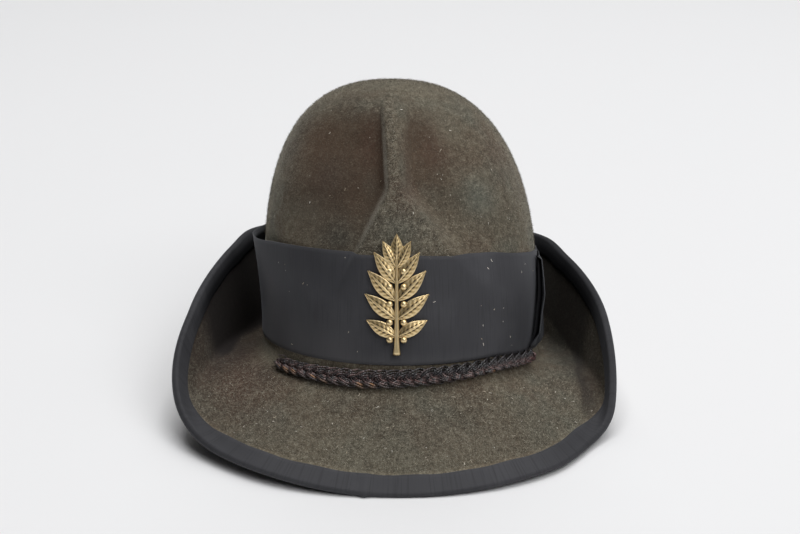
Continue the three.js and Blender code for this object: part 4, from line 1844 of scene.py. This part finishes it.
@dataclass
class FrontBraid:
    """Flat plait of silky cords along the foot of the crown, frayed at one end and tied at the other."""

    form: CapForm
    rows: tuple[BraidRow, ...] = (
        BraidRow(-54.0, 5.2, 4.3, 2.4),
        BraidRow(-14.0, 4.7, 5.6, 2.5),
        BraidRow(61.0, -0.8, 4.1, 3.2),
    )
    lowest: float = 0.3
    strands: int = 3
    cords: int = 4
    cord_radius: float = 0.42
    cord_spacing: float = 1.28
    bundle_round: float = 0.3
    period: float = 20.0
    swing: float = 3.3
    turn_in: float = 1.3
    weave: float = 1.35
    lower_lift: float = 0.5
    stray: float = 0.12
    stray_turn: float = 1.7
    loose: Ease = Ease(0, 7, 1, 0)
    loose_across: Span = (-1.6, 1.6)
    loose_up: Span = (-0.6, 0.9)
    loose_thinning: float = 0.35
    worn_stretches: tuple[Span, ...] = ((0.02, 0.12), (0.16, 0.4), (0.74, 0.86))
    worn_soft: float = 0.02
    worn_lobes: float = 0.4
    worn_low: Ease = Ease(0.84, 0.97)
    worn_share: Span = (0.45, 1.0)
    red_run: float = 20.0
    red_wave: float = 0.9
    red_flecks: float = 0.35
    fleck_wave: float = 0.23
    fleck_turn: float = 2.1
    fleck_level: float = 0.55
    upper_across: Ease = Ease(-0.1, 0.7)
    upper_run: Ease = Ease(0.35, 0.65, 0.25, 1)
    under_weave: Ease = Ease(0, 0.8, 0, 0.9)
    under_cord: float = 0.8
    rings: int = 470
    sides: int = 8
    fray: int = 34
    fray_spans: tuple[Span, ...] = ((2, 5), (-3.8, 3.8), (-3, 3), (-0.6, 0.6), (-1.6, 1.2), (-0.5, 1.2))
    fray_steps: int = 9
    fray_sides: int = 5
    fray_red: float = 0.15
    long_thread: LooseThread = LooseThread(6.5, 1, 4.2, 0, -1.2, -0.9, droop=0, start=0.01, radius=0.3)
    tie_turns: float = 3.2
    tie_steps: int = 120
    tie_red: float = 0.6
    tie_radius: float = 0.6
    tie_size: Span = (2.4, 1.2)
    tie_run: Span = (0.996, 1.012)
    tie_flat: float = 0.75
    filler_run: Span = (0.03, 0.985)
    filler_steps: int = 200
    filler_sides: int = 12
    filler_share: float = 0.75
    filler_half: float = 0.45
    filler_drop: float = 0.9
    seed: int = 5

    def on_route(self, share: Array, across: Array, up: Array) -> Array:
        """Points about the plait's middle.

        Args:
            share: Shares of its length.
            across: Distances across it, outwards.
            up: Distances up from it.

        Returns:
            Points, with coordinates along the last axis.
        """
        angle = mixed(self.rows[0].angle, self.rows[-1].angle, share)
        names = ("reach", "half_width", "lift")
        reach, half, lift = (interpolated(self.rows, "angle", name, angle) for name in names)
        scale = half / max(row.half_width for row in self.rows)
        return self.form.off_brim(angle, reach + across * scale, np.maximum(lift + up, self.lowest))

    def length(self) -> float:
        """Length of the plait along its route."""
        share = np.linspace(0, 1, 200)
        return float(distances(self.on_route(share, 0 * share, 0 * share))[-1])

    def cord(self, strand: int, place: int, length: float, rng: Random) -> Piece:
        """Makes one cord of the plait.

        Args:
            strand: Which strand of the plait it runs in.
            place: Its place side by side in the strand.
            length: Length of the plait.
            rng: Source of small differences.

        Returns:
            The cord as a tube.
        """
        run = np.linspace(0, length, self.rings)
        turns = run / self.period + strand / self.strands
        phase = 2 * np.pi * turns
        wave = np.tanh(self.turn_in * np.sin(phase)) / math.tanh(self.turn_in)
        slope = np.arctan(self.swing * np.gradient(wave, run))
        beside = (place - 0.5 * (self.cords - 1)) * self.cord_spacing
        aside = 2 * place / (self.cords - 1) - 1
        up = self.weave * np.sin(2 * phase) + self.lower_lift * np.sin(phase)
        up = up + rng.uniform(-self.stray, self.stray) + self.bundle_round * (0.5 - aside * aside)
        across = self.swing * wave + beside * np.cos(slope)
        across = across + self.stray * np.sin(run * self.stray_turn + rng.uniform(0, 6))
        loose = self.loose(run)
        across = across + loose * rng.uniform(*self.loose_across)
        up = up + loose * rng.uniform(*self.loose_up)
        share = np.clip((run - beside * np.sin(slope)) / length, 0, 1)
        radius = self.cord_radius * (1 - self.loose_thinning * loose)
        skin = tube(self.on_route(share, across, up), radius, self.sides)
        core = self.worn(turns, run / length, rng) * (place >= self.cords - 2)
        red = smoothstep(run, length - self.red_run, length)
        red = red * (0.5 + 0.5 * np.sin(run * self.red_wave + place))
        fleck = np.sin(run * self.fleck_wave + self.fleck_turn * strand + place)
        red = np.maximum(red, self.red_flecks * (fleck > self.fleck_level))
        upper = self.upper_across(-across / self.swing) * self.upper_run(run / length)
        # Painted shade where the cords dip under the crossing strands, with every other cord darker.
        under = np.maximum(self.under_weave(-np.sin(2 * phase)), self.under_cord * (place % 2))
        marks = {"core": core, "red": red * (1 - upper), "upper": upper, "under": under}
        skin.marks = {name: np.repeat(row[:, None], self.sides, 1) for name, row in marks.items()}
        return skin.piece("cord", self.form)

    def worn(self, turns: Array, share: Array, rng: Random) -> Array:
        """How far a cord is worn to its core, at the lower side of some lobes.

        Args:
            turns: Turns of the cord's strand at each place.
            share: Shares of the plait's length.
            rng: Source of which lobes are worn, and how far.

        Returns:
            Shares from 0 to 1.
        """
        lobe = np.floor(turns).astype(int)
        rubbed = rng.uniform(0, 1, lobe.max() + 1)[lobe] > self.worn_lobes
        low = self.worn_low(np.sin(2 * np.pi * turns)) * rubbed
        core = np.zeros(len(share))
        for start, end in self.worn_stretches:
            within = smoothstep(share, start, start + self.worn_soft)
            within = within * (1 - smoothstep(share, end - self.worn_soft, end))
            core = np.maximum(core, within * low * rng.uniform(*self.worn_share))
        return core

    def threads(self, length: float, rng: Random) -> list[Piece]:
        """Makes the loose threads of the frayed end, the first of them long and stout.

        Args:
            length: Length of the plait.
            rng: Source of their places and bends.

        Returns:
            A tube for each thread.
        """
        made = []
        t = np.linspace(0, 1, self.fray_steps)
        for number in range(self.fray):
            thread = LooseThread(*(rng.uniform(*span) for span in self.fray_spans))
            if number == 0:
                thread = self.long_thread
            across = thread.across + thread.aside * t + thread.curl * np.sin(4 * t)
            up = thread.up + thread.rise * t - thread.droop * t * t
            path = self.on_route(thread.start - thread.run * t / length, across, up)
            thin = thread.radius * (1 - 0.5 * t)
            marks = {"core": 0.0, "red": self.fray_red, "upper": rng.uniform(0, 1), "under": 0.0}
            skin = tube(path, thin, self.fray_sides, **marks)
            made.append(skin.piece("thread", self.form))
        return made

    def tie(self) -> Piece:
        """Makes the winding that ties off the other end.

        Returns:
            The winding as a tube.
        """
        t = np.linspace(0, 1, self.tie_steps)
        wind = 2 * np.pi * self.tie_turns * t
        size = mixed(*self.tie_size, t)
        up = self.tie_flat * size * np.sin(wind)
        path = self.on_route(mixed(*self.tie_run, t), size * np.cos(wind), up)
        skin = tube(path, self.tie_radius, self.sides, core=0.0, red=self.tie_red, upper=0.0, under=0.0)
        return skin.piece("tie", self.form)

    def shade_filler(self, length: float) -> Piece:
        """Makes a dark flat tube under the plait, a dark sheet that paints shade in the gaps between the
        cords.

        Args:
            length: Length of the plait.

        Returns:
            One flat tube.
        """
        share = np.linspace(*self.filler_run, self.filler_steps)
        turn = circle(self.filler_sides)[None, :]
        across = self.filler_share * self.swing * np.cos(turn)
        up = self.filler_half * np.sin(turn) - self.filler_drop
        loops = self.on_route(share[:, None], across, up)
        # The tube takes the darkest tones: painted shade.
        tones = {"core": 0.0, "red": 0.0, "upper": 1.0, "under": 1.0}
        marks = {name: np.full(loops.shape[:2], tone) for name, tone in tones.items()}
        around = np.linspace(0, 1, self.filler_sides + 1)
        return Skin(loops, False, share * length, around, marks).piece("shade_filler", self.form)

    def dress(self) -> list[Piece]:
        """Builds the plait and gives it its finish.

        Returns:
            The finished piece.
        """
        rng = np.random.default_rng(self.seed)
        length = self.length()
        parts = [self.cord(s, c, length, rng) for s in range(self.strands) for c in range(self.cords)]
        parts += [*self.threads(length, rng), self.tie(), self.shade_filler(length)]
        return [dressed(joined("braid", parts), CordFinish().material(), Slot.BRAID, "front_braid")]


@dataclass
class Lint:
    """Pale specks and short threads caught on the felt and the ribbons."""

    form: CapForm
    band: HatBand
    on_crown: int = 36
    on_band: int = 30
    on_brim: int = 90
    crown_angles: Span = (-75.0, 75.0)
    crown_heights: Span = (62.0, 126.0)
    band_angles: Span = (-60.0, 78.0)
    band_shares: Span = (0.06, 0.97)
    brim_angles: Span = (-62.0, 62.0)
    brim_foot: float = 12.0
    brim_bare: float = 11.0
    off_felt: float = 0.45
    off_ribbon: float = 0.12
    length: Span = (0.35, 1.9)
    width: Span = (0.14, 0.34)
    bend: Span = (-0.5, 0.5)
    seed: int = 23

    def places(self, rng: Random) -> tuple[Array, Array]:
        """Where the specks lie.

        Args:
            rng: Source of the places.

        Returns:
            Points just off the cloth, and the outward normals there.
        """
        form, band = self.form, self.band
        angle = rng.uniform(*self.crown_angles, self.on_crown)
        height = rng.uniform(*self.crown_heights, self.on_crown)
        points = [form.off_crown(angle, height, self.off_felt)]
        normals = [form.crown_normal(angle, height)]
        angle = rng.uniform(*self.band_angles, self.on_band)
        share = rng.uniform(*self.band_shares, self.on_band)
        height = band.height(angle, share)
        off = band.gap + band.standoff(angle, share) + band.thickness + self.off_ribbon
        points.append(form.off_crown(angle, height, off))
        normals.append(form.crown_normal(angle, height))
        angle = rng.uniform(*self.brim_angles, self.on_brim)
        reach = rng.uniform(self.brim_foot, form.table.value("width", angle) - self.brim_bare)
        points.append(form.off_brim(angle, reach, self.off_felt))
        normals.append(form.normal(form.brim, angle, reach))
        return np.concatenate(points), np.concatenate(normals)

    def build(self) -> Piece:
        """Makes the specks.

        Returns:
            One object with two bent quads for each speck.
        """
        rng = np.random.default_rng(self.seed)
        points, normals = self.places(rng)
        count = len(points)
        way = unit(np.cross(rng.normal(size=(count, 3)), normals))
        side = np.cross(way, normals)
        half = 0.5 * mixed(*self.length, rng.uniform(0, 1, (count, 1)) ** 2)
        wide = 0.5 * rng.uniform(*self.width, (count, 1))
        bend = side * half * rng.uniform(*self.bend, (count, 1))
        middles = (points - way * half, points + bend, points + way * half)
        corners = np.stack([middle + sign * side * wide for middle in middles for sign in (-1, 1)], axis=1)
        quads = 6 * np.arange(count)[:, None, None] + np.array([[0, 2, 3, 1], [2, 4, 5, 3]])
        tint = np.repeat(rng.uniform(0, 1, count), 6)
        settled = self.form.settled(corners.reshape(-1, 3))
        return mesh_piece("lint", settled, quads.reshape(-1, 4).tolist(), {"tint": tint})

    def dress(self) -> list[Piece]:
        """Builds the lint and gives it its finish."""
        return [dressed(self.build(), LintFinish().material(), Slot.FELT)]


@dataclass(frozen=True)
class Leaf:
    """One leaf of the sprig: where it leaves the stem, its tilt from it, and its size."""

    base: float
    tilt: float
    length: float
    width: float


@dataclass
class BrassSprig:
    """Stamped brass sprig of laurel, bent round the front of the band."""

    form: CapForm
    band: HatBand
    across: float = -2.0
    middle: float = 39.0
    radius: float = 64.0
    seat: float = 1.3
    standoff: float = 1.15
    rim: float = 0.7
    ridge: float = 2.0
    leaf_run: Span = (0.02, 0.995)
    leaf_steps: int = 34
    leaf_places: int = 21
    leaf_fullness: float = 0.85
    arch_power: float = 0.7
    body_share: float = 0.8
    body_power: float = 1.6
    rib_rise: float = 0.34
    vein_rise: float = 0.2
    border_rise: float = 0.22
    ground_tone: float = 0.22
    rib_tone: float = 0.95
    vein_tone: float = 0.55
    border_tone: float = 0.75
    groove_tone: float = 0.55
    rib_width: float = 0.12
    veins: float = 7.5
    vein_slant: float = 1.1
    border: Span = (0.9, 0.1)
    groove: Span = (0.26, 0.1)
    stem: Span = (-30.0, 20.0)
    stem_half: Span = (1.5, 0.7)
    stem_foot: Ease = Ease(0, 0.08, 1.35, 1)
    stem_thickness: float = 1.7
    stem_power: float = 0.7
    stem_steps: int = 40
    stem_places: int = 13
    berry_radius: float = 1.7
    berry_out: float = 3.4
    berry_below: float = 1.5
    berry_cap: float = 0.48
    berry_flat: float = 0.9
    berry_tones: Span = (-0.1, 1.15)
    berry_steps: int = 9
    berry_places: int = 18
    pairs: tuple[Leaf, ...] = (
        Leaf(-21, 62, 17, 7),
        Leaf(-12.5, 52, 20, 7.6),
        Leaf(-3.5, 44, 20.5, 7.6),
        Leaf(5, 36, 19, 7),
        Leaf(12.5, 27, 15, 6),
    )
    top: Leaf = Leaf(15, 0, 14.5, 6.4)

    def at(self, across: Array, up: Array, out: Array) -> Array:
        """Points of the sprig, bent round the front of the band.

        Args:
            across: Distances across it.
            up: Distances up from its middle.
            out: Distances out of it.

        Returns:
            Points, with coordinates along the last axis.
        """
        foot = float(self.band.bottom(np.array(0.0)))
        ends = np.array([foot, foot + self.band.width])
        low, high = self.form.off_crown(np.zeros(2), ends, self.seat)[:, 1]
        height = self.middle + up
        line = low + (high - low) * (height - foot) / self.band.width
        turn = (across + self.across) / self.radius
        x = (self.radius + out) * np.sin(turn)
        y = line - self.standoff + self.radius - (self.radius + out) * np.cos(turn)
        return np.stack(np.broadcast_arrays(x, y, height), axis=-1)

    def plate(self, name: str, loops: Array, raised: Array) -> Piece:
        """Makes a part of the sprig from loops of points and how far each is raised."""
        grid = (np.arange(loops.shape[0] + 0.0), np.arange(loops.shape[1] + 1.0))
        return Skin(loops, False, *grid, {"raised": np.clip(raised, 0, 1)}).piece(name, self.form)

    def leaf(self, leaf: Leaf, hand: Hand) -> Piece:
        """Makes one leaf with a midrib and side veins.

        Args:
            leaf: Its place and size.
            hand: Side of the stem that it is on.

        Returns:
            The leaf as one closed object.
        """
        t = np.linspace(*self.leaf_run, self.leaf_steps)[:, None]
        a = np.linspace(-1, 1, self.leaf_places)[None, :]
        off = np.abs(a)
        arch = np.sin(np.pi * t**self.arch_power)
        rib = bell(a, 0, self.rib_width)
        vein = (1 - rib) * (0.5 + 0.5 * np.cos(2 * np.pi * (t * self.veins - off * self.vein_slant)))
        border, groove = bell(off, *self.border), bell(off, *self.groove)
        body = self.body_share * (self.ridge - self.rim) * (1 - off**self.body_power)
        body = body + self.rib_rise * rib + self.vein_rise * vein * (1 - off)
        out = self.rim + arch * body + self.border_rise * border
        raised = self.ground_tone + self.vein_tone * vein + self.rib_tone * rib
        raised = raised + self.border_tone * border - self.groove_tone * groove
        lean = math.radians(leaf.tilt)
        aside = 0.5 * a * leaf.width * np.sin(np.pi * t**self.leaf_fullness)
        along = t * leaf.length
        across = hand.value * (along * math.sin(lean) - aside * math.cos(lean))
        up = leaf.base + along * math.cos(lean) + aside * math.sin(lean)
        back = self.at(across[:, ::-1], up[:, ::-1], 0 * out)
        loops = np.concatenate([self.at(across, up, out), back], axis=1)
        return self.plate("leaf", loops, np.concatenate([raised, 0 * raised], axis=1))

    def stalk(self) -> Piece:
        """Makes the stem.

        Returns:
            The stem as one closed object.
        """
        t = np.linspace(0, 1, self.stem_steps)[:, None]
        turn = np.linspace(0, np.pi, self.stem_places)[None, :]
        half = mixed(*self.stem_half, t) * self.stem_foot(t)
        out = self.stem_thickness * np.sin(turn) ** self.stem_power
        loops = self.at(half * np.cos(turn), mixed(*self.stem, t), out)
        return self.plate("stalk", loops, np.sin(turn) ** 2 + 0 * t)

    def berry(self, hand: Hand, leaf: Leaf) -> Piece:
        """Makes one berry beside the stem.

        Args:
            hand: Side of the stem that it is on.
            leaf: The leaf that it sits below.

        Returns:
            The berry as one closed object.
        """
        lift = np.linspace(0, self.berry_cap * np.pi, self.berry_steps)[:, None]
        turn = circle(self.berry_places)[None, :]
        ring = self.berry_radius * np.cos(lift)
        dome = self.rim + self.berry_flat * self.berry_radius * np.sin(lift)
        out = np.where(lift == 0, 0.0, dome)
        across = hand.value * self.berry_out + ring * np.cos(turn)
        up = leaf.base - self.berry_below + ring * np.sin(turn)
        raised = mixed(*self.berry_tones, np.sin(lift)) + 0 * turn
        return self.plate("berry", self.at(across, up, out), raised)

    def dress(self) -> list[Piece]:
        """Builds the sprig and gives it its finish.

        Returns:
            The finished piece.
        """
        parts = [self.stalk(), self.leaf(self.top, Hand.LEFT)]
        for leaf in self.pairs:
            for hand in Hand:
                parts += [self.leaf(leaf, hand), self.berry(hand, leaf)]
        return [dressed(joined("sprig", parts), BrassFinish().material(), Slot.BRASS, "brass_sprig")]


@dataclass(frozen=True)
class Lamp:
    """A square area light: its place in metres and its power in watts."""

    name: str
    place: Point
    power: float


@dataclass
class Studio:
    """Plain floor, soft light and the camera."""

    lens: float = 66.0
    sensor: float = 36.0
    distance: float = 0.8
    elevation: float = 20.7
    target: Point = (0.0022, 0.00479, 0.06387)
    floor_size: float = 8.0
    sky: Colour = (1.0, 1.0, 1.0)
    sky_strength: float = 0.03
    lamp_size: float = 2.4
    lamp_aim: Point = (0.0, 0.0, 0.05)
    lamps: tuple[Lamp, ...] = (
        Lamp("top", (0.0, 0.3, 4.0), 98.0),
        Lamp("front", (1.6, -2.2, 2.9), 66.0),
        Lamp("right", (2.0, 0.0, 3.5), 24.0),
        Lamp("back", (0.0, 2.8, 2.8), 36.0),
    )

    @staticmethod
    def stood(name: str, data: bpy.types.ID, place: Vector, aim: Vector) -> Piece:
        """Stands a light or camera in the scene, faced at a point.

        Args:
            name: Name of the object.
            data: The light or camera.
            place: Where it stands, in metres.
            aim: The point that it faces.

        Returns:
            The new object.
        """
        made = bpy.data.objects.new(name, data)
        made.location = place
        made.rotation_euler = (aim - place).to_track_quat("-Z", "Y").to_euler()
        bpy.context.scene.collection.objects.link(made)
        return made

    def light(self) -> None:
        """Adds the lamps and the even light of the room."""
        for lamp in self.lamps:
            data = bpy.data.lights.new(lamp.name, "AREA")
            data.shape = "SQUARE"
            data.size = self.lamp_size
            data.energy = lamp.power
            self.stood(lamp.name, data, Vector(lamp.place), Vector(self.lamp_aim))
        world = bpy.data.worlds.new("pale_room")
        bpy.context.scene.world = world
        world.use_nodes = True
        ground = world.node_tree.nodes["Background"]
        ground.inputs["Color"].default_value = (*self.sky, 1.0)
        ground.inputs["Strength"].default_value = self.sky_strength
        bpy.context.scene.view_settings.view_transform = "Standard"

    def dress(self) -> list[Piece]:
        """Builds the floor, lights and camera.

        Returns:
            The floor.
        """
        half = 0.5 * self.floor_size
        corners = np.array([(-half, -half, 0), (half, -half, 0), (half, half, 0), (-half, half, 0)])
        floor = mesh_piece("floor", corners, [(0, 1, 2, 3)], {})
        floor.data.materials.append(FloorFinish().material())
        self.light()
        camera = bpy.data.cameras.new("camera")
        camera.lens = self.lens
        camera.sensor_width = self.sensor
        tilt = math.radians(self.elevation)
        target = Vector(self.target)
        place = target + self.distance * Vector((0.0, -math.cos(tilt), math.sin(tilt)))
        bpy.context.scene.camera = self.stood("camera", camera, place, target)
        return [floor]


def main() -> None:
    """Builds the studio and every piece of the cap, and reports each."""
    logging.basicConfig(level=logging.INFO, format="%(name)s: %(message)s")
    form = CapForm()
    band = HatBand(form)
    for assembly in (
        Studio(),
        FeltHood(form, band),
        band,
        BrimBinding(form),
        SideBow(form, band),
        FrontBraid(form),
        BrassSprig(form, band),
        Lint(form, band),
    ):
        for piece in assembly.dress():
            LOG.info("%s: %d faces", piece.name, len(piece.data.polygons))


if __name__ == "__main__":
    main()
